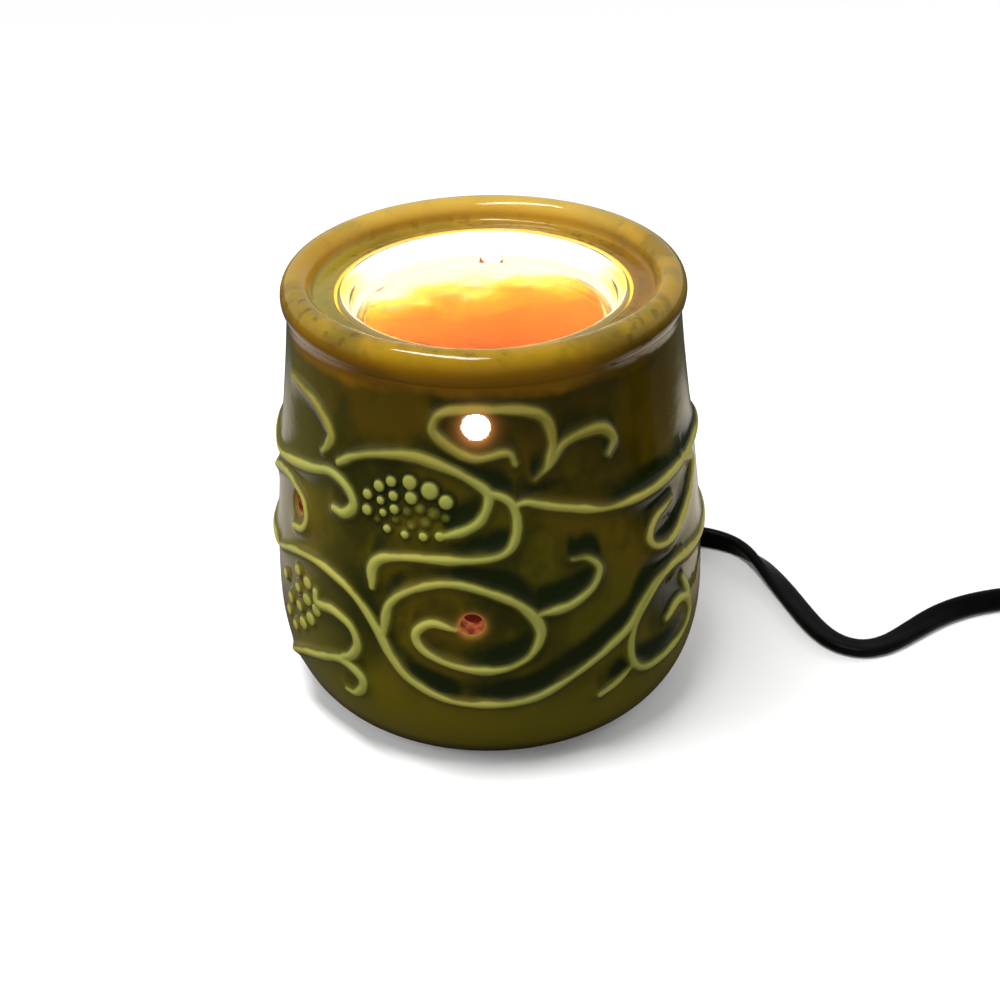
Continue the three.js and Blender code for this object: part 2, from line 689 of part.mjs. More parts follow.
function buildLampholder(screwZ) {
  const bore = SHELL_RADIUS + SEAT_GAP;
  const wireHole = 3;
  const cup = turned(
    [
      [wireHole, HOLDER_Z],
      [HOLDER_RADIUS - 0.6, HOLDER_Z],
      [HOLDER_RADIUS, HOLDER_Z + 0.6],
      [HOLDER_RADIUS, HOLDER_TOP_Z - 0.8],
      [HOLDER_RADIUS - 0.8, HOLDER_TOP_Z],
      [bore, HOLDER_TOP_Z],
      [bore, CONTACT_Z],
      [wireHole, CONTACT_Z],
      [wireHole, HOLDER_Z],
    ],
    SMALL_SEGMENTS,
  );
  const reach = HOLDER_RADIUS + CUT_OVERRUN;
  const side = screwHole(SCREW_SHANK_RADIUS + SEAT_GAP, -reach, reach, screwZ);
  add('lampholder_body', cut(cup, [side]));

  const shellBottom = screwZ + SCREW_SHANK_RADIUS + 2 * SEAT_GAP;
  const shell = tube(SHELL_RADIUS, SHELL_RADIUS - SHELL_STEEL, shellBottom, HOLDER_TOP_Z - 0.6);
  add('lampholder_screw_shell', shell);

  const tongue = [
    [-5.5, CONTACT_Z],
    [5.5, CONTACT_Z],
    [5.5, CONTACT_Z + CONTACT_STEEL],
    [2.6, CONTACT_Z + CONTACT_RISE],
    [-2.4, CONTACT_Z + CONTACT_RISE],
    [-2.4, CONTACT_Z + CONTACT_RISE - CONTACT_STEEL],
    [2.2, CONTACT_Z + CONTACT_RISE - CONTACT_STEEL],
    [4.2, CONTACT_Z + CONTACT_STEEL],
    [-5.5, CONTACT_Z + CONTACT_STEEL],
  ];
  add('lampholder_contact', prism(tongue, -2, 4).rotateX(Math.PI / 2));

  const wireX = FLEX_WIDTH / 4;
  for (const [name, sign] of [['wire_live', 1], ['wire_neutral', -1]]) {
    const bottom = BRACKET_TOP_Z;
    const wire = rod(WIRE_RADIUS, bottom, CONTACT_Z - SEAT_GAP, 8);
    add(name, towardsCord(wire.translate(0, sign * wireX, 0)));
  }
}

// Bulb

function bulbEnvelope() {
  const neck = CAP_RADIUS - CAP_STEEL - SEAT_GAP;
  const bottom = CAP_TOP_Z - 2.2;
  const outside = [[neck, bottom], [neck, CAP_TOP_Z + 0.5]];
  const start = -58;
  for (let degrees = start; degrees <= 90; degrees += 18.5) {
    const angle = THREE.MathUtils.degToRad(degrees);
    outside.push([BULB_RADIUS * Math.cos(angle), GLOBE_Z + BULB_RADIUS * Math.sin(angle)]);
  }
  outside[outside.length - 1][0] = 0;
  const share = (BULB_RADIUS - BULB_GLASS) / BULB_RADIUS;
  const inside = [[neck - BULB_GLASS, bottom], [neck - BULB_GLASS, CAP_TOP_Z + 0.5]];
  for (const [r, z] of outside.slice(2)) {
    inside.push([r * share, GLOBE_Z + (z - GLOBE_Z) * share]);
  }
  return [...outside, ...inside.reverse(), [neck, bottom]];
}

function buildBulb() {
  const tip = turned(
    [[0, BULB_Z], [TIP_RADIUS * 0.7, BULB_Z], [TIP_RADIUS, BULB_Z + TIP_HEIGHT], [0, BULB_Z + TIP_HEIGHT]],
    SMALL_SEGMENTS,
  );
  add('bulb_tip_contact', tip);

  const insulatorTop = CAP_Z + 1;
  const capInside = CAP_RADIUS - CAP_STEEL;
  const insulator = turned(
    [
      [0, BULB_Z + TIP_HEIGHT],
      [TIP_RADIUS + 0.4, BULB_Z + TIP_HEIGHT],
      [capInside - SEAT_GAP, CAP_Z],
      [capInside - SEAT_GAP, insulatorTop],
      [0, insulatorTop],
    ],
    SMALL_SEGMENTS,
  );
  add('bulb_insulator', insulator);
  add('bulb_screw_cap', tube(CAP_RADIUS, capInside, CAP_Z, CAP_TOP_Z));
  add('bulb_glass', turned(bulbEnvelope(), BULB_SEGMENTS));

  const stemBottom = CAP_TOP_Z - 2.2;
  const stemTop = GLOBE_Z - 7;
  const stemFoot = CAP_RADIUS - CAP_STEEL - 2 * SEAT_GAP - BULB_GLASS;
  const stem = turned(
    [
      [0, stemBottom],
      [stemFoot, stemBottom],
      [stemFoot, stemBottom + 0.8],
      [1.9, stemBottom + 3],
      [1.6, stemTop],
      [0, stemTop],
    ],
    12,
  );
  add('bulb_stem', stem);
  buildFilament(stemTop);
}

function buildFilament(stemTop) {
  const half = FILAMENT_SPAN / 2;
  for (const [name, side] of [['bulb_lead_wire_1', 1], ['bulb_lead_wire_2', -1]]) {
    const points = [
      new THREE.Vector3(side * 0.8, 0, stemTop + SEAT_GAP),
      new THREE.Vector3(side * 0.9, 0, stemTop + 1.5),
      new THREE.Vector3(side * (half + 0.2), 0, GLOBE_Z + 0.5),
      new THREE.Vector3(side * (half + 0.2), 0, GLOBE_Z + 2),
    ];
    add(name, roundWire(LEAD_WIRE_RADIUS, 6, points));
  }
  const stepsInCurl = 8;
  const steps = FILAMENT_CURLS * stepsInCurl;
  const reach = half - LEAD_WIRE_RADIUS - FILAMENT_WIRE_RADIUS - SEAT_GAP;
  const points = [];
  for (let i = 0; i <= steps; i += 1) {
    const angle = (2 * Math.PI * i) / stepsInCurl;
    const x = reach * ((2 * i) / steps - 1);
    const y = FILAMENT_CURL_RADIUS * Math.sin(angle);
    const z = GLOBE_Z + 1.5 + FILAMENT_CURL_RADIUS * (Math.cos(angle) - 1);
    points.push(new THREE.Vector3(x, y, z));
  }
  const across = points.map(() => new THREE.Vector3(1, 0, 0));
  add('bulb_filament', sweep(circle(FILAMENT_WIRE_RADIUS, 4), points, across));
}

// Flat flex: inside the foot, over the table, round the coil

// Two round cores side by side with a waist between them.
function flexOutline() {
  const core = FLEX_THICKNESS / 2;
  const reach = FLEX_WIDTH / 2 - core;
  const points = [];
  for (const degrees of [-75, -25, 25, 75]) {
    const angle = THREE.MathUtils.degToRad(degrees);
    points.push([reach + core * Math.cos(angle), core * Math.sin(angle)]);
  }
  points.push([0, 0.7 * core]);
  for (const degrees of [105, 155, 205, 255]) {
    const angle = THREE.MathUtils.degToRad(degrees);
    points.push([core * Math.cos(angle) - reach, core * Math.sin(angle)]);
  }
  points.push([0, -0.7 * core]);
  return points;
}

function flexHexagon() {
  const half = FLEX_WIDTH / 2;
  const thin = FLEX_THICKNESS / 2;
  return [[half, 0], [half / 2, thin], [-half / 2, thin], [-half, 0], [-half / 2, -thin], [half / 2, -thin]];
}

// Where the width of a rolled flex points, for a stretch running along the given direction.
function rolledAcross(along, roll) {
  const level = new THREE.Vector3(along.y, -along.x, 0).normalize();
  const angle = THREE.MathUtils.degToRad(roll);
  return level.multiplyScalar(Math.cos(angle)).add(new THREE.Vector3(0, 0, Math.sin(angle)));
}

function lyingHeight(lift, roll) {
  const core = FLEX_THICKNESS / 2;
  return lift + core + (FLEX_WIDTH / 2 - core) * Math.abs(Math.sin(THREE.MathUtils.degToRad(roll)));
}

// A stretch of flex through [x, y, lift, roll] points.
function looseFlex(stops, steps) {
  const places = stops.map(([x, y, lift, roll]) => new THREE.Vector3(x, y, lyingHeight(lift, roll)));
  const curve = new THREE.CatmullRomCurve3(places, false, 'centripetal');
  const points = [];
  const across = [];
  for (let i = 0; i <= steps; i += 1) {
    const share = i / steps;
    const place = share * (stops.length - 1);
    const before = Math.min(Math.floor(place), stops.length - 2);
    const roll = THREE.MathUtils.lerp(stops[before][3], stops[before + 1][3], place - before);
    points.push(curve.getPoint(share));
    across.push(rolledAcross(curve.getTangent(share), roll));
  }
  return sweep(flexOutline(), points, across);
}

// The strain relief's sections: distance from the axis, width, height.
function buildRelief() {
  const wallInside = FOOT_RECESS_RADIUS;
  const flangeOut = wallInside - 0.8;
  const flangeIn = flangeOut - RELIEF_FLANGE;
  const tip = BELLY_RADIUS - 4.5 + RELIEF_REACH;
  const sections = [
    [flangeIn, RELIEF_WIDTH + 4, RELIEF_HEIGHT + 2],
    [flangeOut, RELIEF_WIDTH + 4, RELIEF_HEIGHT + 2],
    [flangeOut, RELIEF_WIDTH, RELIEF_HEIGHT],
    [tip - 8, RELIEF_WIDTH, RELIEF_HEIGHT],
    [tip, FLEX_THICKNESS + 1.6, FLEX_WIDTH + 1.2],
  ];
  const rings = sections.map(([x, width, height]) => {
    const outline = roundedRectangle(width, height, 1.2);
    return outline.map(([y, z]) => new THREE.Vector3(x, y, CORD_EXIT_Z + z));
  });
  add('strain_relief', towardsCord(loft(rings)));
  return { flangeIn, tip };
}

// From the top of the nipple down its bore, then level to the strain relief.
function buildInnerCord(reliefStart) {
  const bend = 4;
  const end = reliefStart - SEAT_GAP;
  const points = [new THREE.Vector3(0, 0, BRACKET_TOP_Z - SEAT_GAP)];
  for (const degrees of [0, 22.5, 45, 67.5, 90]) {
    const angle = THREE.MathUtils.degToRad(degrees);
    const x = bend * (1 - Math.cos(angle));
    points.push(new THREE.Vector3(x, 0, CORD_EXIT_Z + bend * (1 - Math.sin(angle))));
  }
  points.push(new THREE.Vector3(end - 4, 0, CORD_EXIT_Z));
  points.push(new THREE.Vector3(end, 0, CORD_EXIT_Z));
  const across = points.map(() => new THREE.Vector3(0, 1, 0));
  add('cord_inner', towardsCord(sweep(flexOutline(), points, across)));
}

function buildLead(reliefTip) {
  const angle = THREE.MathUtils.degToRad(CORD_AZIMUTH);
  const lift = CORD_EXIT_Z - FLEX_WIDTH / 2;
  const atExit = (reach) => [reach * Math.sin(angle), -reach * Math.cos(angle), lift, 90];
  const inlet = SWITCH_X - SWITCH_LENGTH / 2 - SEAT_GAP;
  const inletLift = SWITCH_HEIGHT / 2 - FLEX_THICKNESS / 2;
  const stops = [
    atExit(reliefTip + SEAT_GAP),
    atExit(reliefTip + 2),
    ...LEAD_POINTS,
    [inlet - 4, SWITCH_Y, inletLift, 0],
    [inlet, SWITCH_Y, inletLift, 0],
  ];
  add('cord_lead', looseFlex(stops, LEAD_STEPS));
}

// The coil runs clockwise from its far side: in along the lower layer, out again along the upper one.
function coilPoints(centreY, lowerZ) {
  const upperZ = lowerZ + FLEX_WIDTH + LAYER_GAP;
  const { smoothstep } = THREE.MathUtils;
  const climbEnd = COIL_TURNS + 0.5;
  const middle = COIL_TURNS + 0.25;
  const steps = Math.round(2 * middle * COIL_STEPS);
  const points = [];
  for (let i = 0; i <= steps; i += 1) {
    const turns = i / COIL_STEPS;
    const inwards = middle - Math.abs(turns - middle);
    const dip = smoothstep(turns, COIL_TURNS - 0.5, COIL_TURNS) - smoothstep(turns, climbEnd, climbEnd + 0.5);
    const radius = COIL_OUTER_RADIUS - COIL_PITCH * inwards - COIL_DIP * dip;
    const climb = smoothstep(turns, COIL_TURNS, climbEnd);
    const angle = Math.PI / 2 - 2 * Math.PI * turns;
    const x = COIL_X + radius * Math.cos(angle);
    const y = centreY + radius * Math.sin(angle);
    points.push(new THREE.Vector3(x, y, THREE.MathUtils.lerp(lowerZ, upperZ, climb)));
  }
  return points;
}

// Least free space between neighbouring turns, counted from the cord's faces.
function leastCoilGap(points) {
  let least = Infinity;
  for (let i = 0; i < points.length; i += 1) {
    for (let j = i + COIL_STEPS / 2; j < points.length; j += 1) {
      const level = Math.hypot(points[i].x - points[j].x, points[i].y - points[j].y) - FLEX_THICKNESS;
      const upright = Math.abs(points[i].z - points[j].z) - FLEX_WIDTH;
      least = Math.min(least, Math.max(level, upright));
    }
  }
  return least;
}

function buildCoil() {
  const centreY = SWITCH_Y - COIL_OUTER_RADIUS;
  const lift = TIE_THICKNESS + SEAT_GAP;
  const lowerZ = lift + FLEX_WIDTH / 2;
  const points = coilPoints(centreY, lowerZ);
  console.log(`least free space in the coil: ${leastCoilGap(points).toFixed(2)} mm`);
  const upright = points.map(() => new THREE.Vector3(0, 0, 1));
  add('cord_coil', sweep(flexHexagon(), points, upright));

  const upperZ = points[points.length - 1].z;
  const outlet = SWITCH_X + SWITCH_LENGTH / 2 + SEAT_GAP;
  const outletLift = SWITCH_HEIGHT / 2 - FLEX_THICKNESS / 2;
  const linkEnd = COIL_X - SEAT_GAP;
  const link = [
    [outlet, SWITCH_Y, outletLift, 0],
    [outlet + 5, SWITCH_Y, outletLift - 0.5, 0],
    [linkEnd - 20, SWITCH_Y, 2.2, 50],
    [linkEnd - 6, SWITCH_Y, lift, 90],
    [linkEnd, SWITCH_Y, lift, 90],
  ];
  add('cord_link', looseFlex(link, 16));

  const tailY = centreY - COIL_OUTER_RADIUS;
  const tailStart = COIL_X - SEAT_GAP;
  const tailEnd = PLUG_X + PLUG_LENGTH / 2 + SEAT_GAP;
  const plugLift = PLUG_HEIGHT / 2 - FLEX_THICKNESS / 2;
  const tail = [
    [tailStart, tailY, upperZ - FLEX_WIDTH / 2, 90],
    [tailStart - 6, tailY, upperZ - FLEX_WIDTH / 2, 90],
    [tailStart - 22, tailY, 2.4, 60],
    [tailEnd + 16, tailY, 2, 15],
    [tailEnd + 5, tailY, plugLift - 0.4, 0],
    [tailEnd, tailY, plugLift, 0],
  ];
  add('cord_tail', looseFlex(tail, 20));

  buildTie(centreY, lift, upperZ);
  buildPlug(tailY);
}

// A flat band round the bundle, on the coil's side away from the pot.
function buildTie(centreY, lift, upperZ) {
  const bundle = COIL_PITCH * (COIL_TURNS + 0.25) + COIL_DIP;
  const inner = COIL_OUTER_RADIUS - bundle - FLEX_THICKNESS / 2 - SEAT_GAP;
  const outer = COIL_OUTER_RADIUS + FLEX_THICKNESS / 2 + SEAT_GAP;
  const top = upperZ + FLEX_WIDTH / 2 + SEAT_GAP;
  const bottom = lift - SEAT_GAP;
  const around = block(
    COIL_X + inner - TIE_THICKNESS,
    COIL_X + outer + TIE_THICKNESS,
    centreY - TIE_WIDTH / 2,
    centreY + TIE_WIDTH / 2,
    bottom - TIE_THICKNESS,
    top + TIE_THICKNESS,
  );
  const window = block(
    COIL_X + inner,
    COIL_X + outer,
    centreY - TIE_WIDTH,
    centreY + TIE_WIDTH,
    bottom,
    top,
  );
  add('coil_tie', cut(around, [window]));
}

// Inline switch

function switchRing(inset, height) {
  const corner = SWITCH_CORNER - inset / 2;
  const outline = roundedRectangle(SWITCH_LENGTH - 2 * inset, SWITCH_WIDTH - 2 * inset, corner, 4);
  return outline.map(([x, y]) => new THREE.Vector3(SWITCH_X + x, SWITCH_Y + y, height));
}

function buildSwitch() {
  const split = SWITCH_HEIGHT / 2;
  const wheelY = SWITCH_Y + SWITCH_WIDTH / 2 + WHEEL_PROUD - WHEEL_RADIUS;
  const at = (geometry, x, y) => geometry.translate(x, y, 0);
  const pocketBottom = split - WHEEL_THICKNESS / 2 - SEAT_GAP;
  const pocketTop = split + WHEEL_THICKNESS / 2 + SEAT_GAP;
  const pocketRadius = WHEEL_RADIUS + 2 * SEAT_GAP;
  const pocket = at(rod(pocketRadius, pocketBottom, pocketTop, 32), SWITCH_X, wheelY);
  const pinHole = rod(PIN_RADIUS + SEAT_GAP, PIN_MARGIN, SWITCH_HEIGHT - PIN_MARGIN);
  at(pinHole, SWITCH_X, wheelY);
  const headZ = SWITCH_HEIGHT - 2.4;
  const screwPlaces = [SWITCH_X - SWITCH_SCREW_REACH, SWITCH_X + SWITCH_SCREW_REACH];
  const screwHoles = screwPlaces.flatMap((x) => [
    at(rod(SCREW_SHANK_RADIUS + SEAT_GAP, PIN_MARGIN, headZ + CUT_OVERRUN, 12), x, SWITCH_Y),
    at(rod(SCREW_HEAD_RADIUS + SEAT_GAP, headZ, SWITCH_HEIGHT + CUT_OVERRUN, 12), x, SWITCH_Y),
  ]);
  const cutters = [pocket, pinHole, ...screwHoles];
  const base = loft([switchRing(SWITCH_EDGE, 0), switchRing(0, SWITCH_EDGE), switchRing(0, split)]);
  add('switch_base', cut(base, cutters));
  const cover = loft([
    switchRing(0, split),
    switchRing(0, SWITCH_HEIGHT - SWITCH_EDGE),
    switchRing(SWITCH_EDGE, SWITCH_HEIGHT),
  ]);
  add('switch_cover', cut(cover, cutters));

  const rim = [];
  for (let i = 0; i < 2 * WHEEL_TEETH; i += 1) {
    const angle = (Math.PI * i) / WHEEL_TEETH;
    const radius = WHEEL_RADIUS - (i % 2) * WHEEL_TOOTH;
    rim.push([radius * Math.cos(angle), radius * Math.sin(angle)]);
  }
  const wheelBottom = split - WHEEL_THICKNESS / 2;
  const bore = rod(PIN_RADIUS + SEAT_GAP / 3, 0, SWITCH_HEIGHT);
  const wheel = cut(prism(rim, wheelBottom, WHEEL_THICKNESS), [bore]);
  add('switch_wheel', at(wheel, SWITCH_X, wheelY));
  const pin = rod(PIN_RADIUS, PIN_MARGIN + SEAT_GAP, SWITCH_HEIGHT - PIN_MARGIN - SEAT_GAP);
  add('switch_pin', at(pin, SWITCH_X, wheelY));

  screwPlaces.forEach((x, i) => {
    const screw = turned(
      [
        [0, PIN_MARGIN + SEAT_GAP],
        [SCREW_SHANK_RADIUS, PIN_MARGIN + SEAT_GAP],
        [SCREW_SHANK_RADIUS, headZ],
        [SCREW_HEAD_RADIUS, headZ],
        [SCREW_HEAD_RADIUS * 0.8, headZ + SCREW_HEAD_HEIGHT],
        [0, headZ + SCREW_HEAD_HEIGHT],
      ],
      12,
    );
    add(`switch_screw_${i + 1}`, at(screw, x, SWITCH_Y));
  });
}

// Plug

function buildPlug(plugY) {
  const back = PLUG_X + PLUG_LENGTH / 2;
  const front = PLUG_X - PLUG_LENGTH / 2;
  const middle = PLUG_HEIGHT / 2;
  const sections = [
    [front, PLUG_WIDTH - 1, PLUG_HEIGHT - 1],
    [front + 1, PLUG_WIDTH, PLUG_HEIGHT],
    [front + 0.5 * PLUG_LENGTH, PLUG_WIDTH, PLUG_HEIGHT],
    [front + 0.75 * PLUG_LENGTH, PLUG_NECK + 4, PLUG_HEIGHT - 2],
    [back, PLUG_NECK, PLUG_HEIGHT - 6],
  ];
  const rings = sections.map(([x, width, height]) => {
    const outline = roundedRectangle(width, height, 2.4);
    return outline.map(([y, z]) => new THREE.Vector3(x, plugY + y, middle + z));
  });
  add('plug_body', loft(rings));
  for (const [name, side] of [['plug_blade_1', 1], ['plug_blade_2', -1]]) {
    const bladeY = plugY + (side * BLADE_SPACING) / 2;
    const blade = block(
      front - SEAT_GAP - BLADE_LENGTH,
      front - SEAT_GAP,
      bladeY - BLADE_THICKNESS / 2,
      bladeY + BLADE_THICKNESS / 2,
      middle - BLADE_WIDTH / 2,
      middle + BLADE_WIDTH / 2,
    );
    add(name, blade);
  }
}

buildBody();
buildDish();
buildNipple();
buildLampholder(buildBracket());
buildBulb();
const relief = buildRelief();
buildInnerCord(relief.flangeIn);
buildLead(relief.tip);
buildSwitch();
buildCoil();

export default warmer;
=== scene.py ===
"""Looks of the electric oil warmer: glazed pot with a raised vine, lit from inside, on a pale floor."""

import json
import math

import bmesh
import bpy
import numpy as np
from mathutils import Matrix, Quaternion, Vector
from mathutils.kdtree import KDTree


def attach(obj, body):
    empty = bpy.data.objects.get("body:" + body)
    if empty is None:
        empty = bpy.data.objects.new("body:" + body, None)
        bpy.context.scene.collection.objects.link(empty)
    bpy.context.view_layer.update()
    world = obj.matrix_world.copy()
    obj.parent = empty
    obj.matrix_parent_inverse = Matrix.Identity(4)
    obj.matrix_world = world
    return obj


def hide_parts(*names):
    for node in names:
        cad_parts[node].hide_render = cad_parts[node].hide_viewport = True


MM = 0.001

# Camera, fitted to the photograph
CAMERA_PLACE = (0.0, -0.3866, 0.2730)
CAMERA_TARGET = (0.0, 0.0, 0.0427)
CAMERA_LENS = 69.2
CAMERA_SHIFT = 0.0111
CAMERA_ROLL = -1.46
CAMERA_SENSOR = 36
CAMERA_NEAREST = 0.01

# Sizes of the solids that the finer pieces follow, in millimetres
FOOT_Z = 1.5
FOOT_RADIUS = 41.8
FOOT_RING_WIDTH = 10.8
FLOOR_UNDER_Z = 12.0
FLOOR_Z = 16.0
BELLY_RADIUS = 49.8
BELLY_Z = 25.0
NECK_RADIUS = 43.6
NECK_Z = 92.0
WALL = 5.0
BODY_TOP = 102.0
RIM_WIDTH = 7.0
RIM_HEIGHT = 8.4
RIM_OUTER_RADIUS = 44.6
LEDGE_Z = 97.4
LEDGE_THICKNESS = 6.0
LEDGE_HOLLOW_RADIUS = 36.2
LEDGE_HOLLOW = 0.1
MOUTH_RADIUS = 32.6
SEAT_Z = 95.0
THROAT_RADIUS = 31.2
NIPPLE_HOLE = 5.3
FLOOR_CORNER = 6.0
GLASS = 1.6
SEAT_GAP = 0.3
DISH_UNDER_Z = 83.4
DISH_FLOOR_RADIUS = 24.5
OIL_DEPTH = 5.5
BULB_RADIUS = 13.0
GLOBE_Z = 60.2
BULB_NECK_RADIUS = 5.2
BULB_NECK_Z = 40.9
CAP_TOP_Z = 43.1
BULB_GLASS = 0.8
GLOBE_START = -62  # angle at which the globe meets its neck
OIL_EDGE = 1.5  # width and height of the oil's raised edge
OIL_CREEP = 0.12
BEAD_ANGLES = (-54, 163, 8)  # first, last and step round the rim's bead
NOTCH_SIZE = (24.7, 8.6, 10.0)  # the cord's notch in the foot, along X before it is turned
NOTCH_MIDDLE = (39.85, 0.0, 4.4)

# Pulls of the wall's two curves, as shares of their width and height
FOOT_PULL = (0.53, 0.15)
BELLY_PULL_DOWN = 0.55
BELLY_PULL_UP = 0.33
NECK_PULL = (0.23, 0.27)

# Fineness of the meshes
POT_COLUMNS = 640
LOWER_STEPS = 80
UPPER_STEPS = 160
WALL_STEP = 0.45
LEDGE_STEP = 0.8
INSIDE_ROWS = 6  # the inside takes every sixth row of the wall
HOLE_SIDES = 40
DISH_COLUMNS = 128
BOWL_STEPS = 28
LAMP_COLUMNS = 64
GLOBE_STEPS = 24
VINE_STEPS = 12
CORD_STEPS = 8

# Raised vine on one half of the pot: azimuth in degrees from the front, height
VINE = {
    "leaf loop": [(7, 78), (5, 80.5), (-3, 79.5), (-9, 81.5), (-14, 85), (-13, 88.5), (-8, 90), (4, 90),
        (12, 89), (16, 86.5), (17, 81), (15.5, 77.5), (14, 75.5)],
    "leaf curl": [(12, 74), (16, 77), (20, 81), (26, 82.5), (32, 82), (35, 79), (33, 76)],
    "seed leaf": [(-43, 73), (-37, 76), (-30, 78), (-20, 79), (-10, 77), (-3, 74), (0, 71), (-2, 66),
        (-6, 63.5), (-11, 62)],
    "drop": [(0, 72), (5, 70), (7, 66), (6, 60.5), (2, 57.5), (-8, 56.5), (-20, 56), (-28, 54.5),
        (-31, 51.5), (-31, 47)],
    "high vine": [(7.5, 69), (10, 69.3), (15, 68), (23, 66), (32, 64), (45, 63.5), (60, 64), (75, 65),
        (90, 64.5), (101, 63.5), (117, 66.5), (127, 68.5), (134, 70), (140, 68.5), (143, 65),
        (140, 62), (136, 62)],
    "left leaf": [(-85, 56.5), (-75, 60.5), (-66, 62), (-58, 60), (-55, 56), (-57, 52.5), (-62, 51)],
    "left drop": [(-68, 85.5), (-58, 85), (-51, 83), (-46, 79), (-47, 76), (-49, 74)],
    "low vine": [(-73, 41), (-62, 45), (-52, 47), (-43, 46), (-36, 43), (-30, 37), (-26, 31), (-21, 26),
        (-12, 22), (-1, 21), (10, 22), (20, 26), (30, 30.5), (37, 34), (41, 38.5), (47, 42),
        (55, 42.5), (65, 41.5), (80, 40.5), (95, 40.5), (107, 41)],
    "spiral": [(-28, 36), (-26, 44), (-19, 49), (-10, 51), (0, 49), (8, 45), (12, 39), (9, 33), (1, 30),
        (-9, 31), (-17, 34), (-19, 38), (-15, 41), (-9, 40)],
    "spiral branch": [(12, 43), (20, 44), (26, 47), (28, 51), (25, 54), (21, 54.5)],
    "low leaf": [(-51, 39), (-50, 36.5), (-44, 37), (-38, 35), (-36, 31), (-38, 27.5), (-41, 26)],
    "foot curl": [(-69, 14.5), (-60, 19), (-50, 22.5), (-42, 25), (-36, 23), (-35, 20), (-38, 17),
        (-41, 17)],
    "right curl": [(60, 43), (50, 42), (44, 39), (39, 34.5), (37, 29), (38, 23.5), (43, 20.5), (51, 20.5),
        (59, 22.5), (63, 26), (61, 30.5), (56, 32), (51, 30)],
    "right curl tip": [(63, 28), (61, 33), (59, 37)],
    "right curl tail": [(38, 23.5), (33, 20.5), (28, 18.5)],
    "right leaf": [(64, 65), (72, 61.5), (68, 56.5), (62, 52), (55, 49), (48, 49.5), (45, 52.5), (48, 56.5),
        (55, 58.5)],
}
# Seeds inside the leaves: azimuth, height, radius
SEEDS = [
    (-33, 68.2, 1.05), (-29.5, 70.8, 1.15), (-26, 72.5, 1.1), (-20.7, 73, 1.4), (-15.3, 71.7, 1.65),
    (-11, 69.5, 1.35), (-29, 67.6, 0.85), (-25.3, 69.3, 1.0), (-20.3, 69.6, 1.25), (-33, 64.6, 1.15),
    (-28.2, 65, 0.8), (-25, 66.3, 0.95), (-27, 61.5, 0.8), (-22, 61, 0.8), (-17, 61.2, 0.9),
    (-12.7, 61.7, 0.95), (-60, 40.5, 1.4), (-55, 39.5, 1.5), (-60, 36, 1.3), (-55.5, 35, 1.5),
    (-59.5, 31.5, 1.4), (-51, 34, 1.4), (-54, 30.5, 1.5), (-58, 27.5, 1.4), (-65, 31, 1.4),
    (-67, 26.5, 1.3), (-63, 24.5, 1.3), (-68.5, 35.5, 1.3),
]
# Seeds that thick glaze covers
SUNK_SEEDS = [
    (-21.5, 66.2, 0.9), (-18, 67.3, 1.1), (-14.3, 66.6, 1.2), (-11.2, 65.8, 0.9), (-30, 63, 0.75),
    (-24.7, 63.8, 0.75), (-20.3, 63.2, 0.9), (-16.5, 64.2, 1.1),
]
LIGHT_HOLES = [(-3, 86, 2.9), (-5, 40.8, 2.5), (-61, 57.1, 2.5)]
VINE_HEIGHT = 1.35
VINE_UNEVEN = 0.08  # how much a ridge swells and thins, and over what length
VINE_WAVE = 4.5
VINE_CREST = 1.35  # half width of the ridge itself
VINE_SHOULDER = 3.4  # half width of the soft rise that it stands on
SHOULDER_SHARE = 0.3
VINE_REACH = 9.0  # beyond this the vine leaves the wall as it is
DOT_STEP = 0.35
TAPER_LENGTH = 4.0
TIP_SHARE = 0.85
SEED_HEIGHT = 0.9
SEED_SPREAD = 1.45
SUNK_SHARE = 0.6
NEST_REACH = 1.3  # how far round a seed the glaze lies thick
BORE_GLOW = [2.4, 0.40, 0.3]  # the lamp stands close behind the upper hole only
BACK_BORE_GLOW = 0.5
HOLE_HALOS = [(1.0, 1.1), (0.75, 0.5), (0.3, 0.35)]  # strength and reach on the glaze
HOLE_INSIDE = 35.0
HOLE_OUTSIDE = BELLY_RADIUS + 4
RUN_LENGTH = 8.0  # how far up the wall the glaze lies thick above a ridge
RELIEF_RADIUS = 47.5
RELIEF_FADE = 3.0  # how soon the relief ends above the foot and below the neck
HOLE_DIP = 0.7  # depth and width of the soft dip round a light hole
HOLE_DIP_WIDTH = 1.3
BORE_MARGIN = 1.002
POOL_BY_VINE = 0.5  # how thick the glaze lies beside the vine and round the seeds
POOL_BY_SEEDS = 0.6
POOL_START = 1.2
POOL_FADE = 2.0
POOL_GAIN = 1.4

# Flat twin flex and its way over the table: x, y, height of its underside, roll
FLEX_WIDTH = 5.6
FLEX_THICKNESS = 2.8
CORE_ARC = 144  # degrees of each round core that show, and the points on them
CORE_POINTS = 9
WEB_HALF = 0.25  # half width and height of the web, as shares of the cores
WEB_RISE = 0.80
CORD_AZIMUTH = 143
CORD_EXIT_Z = 5.4
RELIEF_TIP = 49.7
LEAD_POINTS = [
    (32.6, 43.0, 1.9, 90), (37.3, 46.4, 0.6, 90), (44, 47.4, 0, 90), (51, 46.6, 0, 90), (58, 44.6, 0, 90),
    (64.6, 40.4, 0, 75), (69.4, 33.8, 0, 45), (72.5, 26.4, 0, 15), (75.2, 18.4, 0, 0), (77.6, 10.4, 0, 0),
    (80.2, 3, 0, 0), (84, -3, 0, 0), (90, -5.8, 0, 0), (96.5, -3.6, 0, 0), (103, 1.2, 0, -10),
    (110.5, 6.5, 0, -35), (119, 10.3, 0, -60), (128, 12.8, 0, -50), (137, 14.6, 0.8, -15),
]
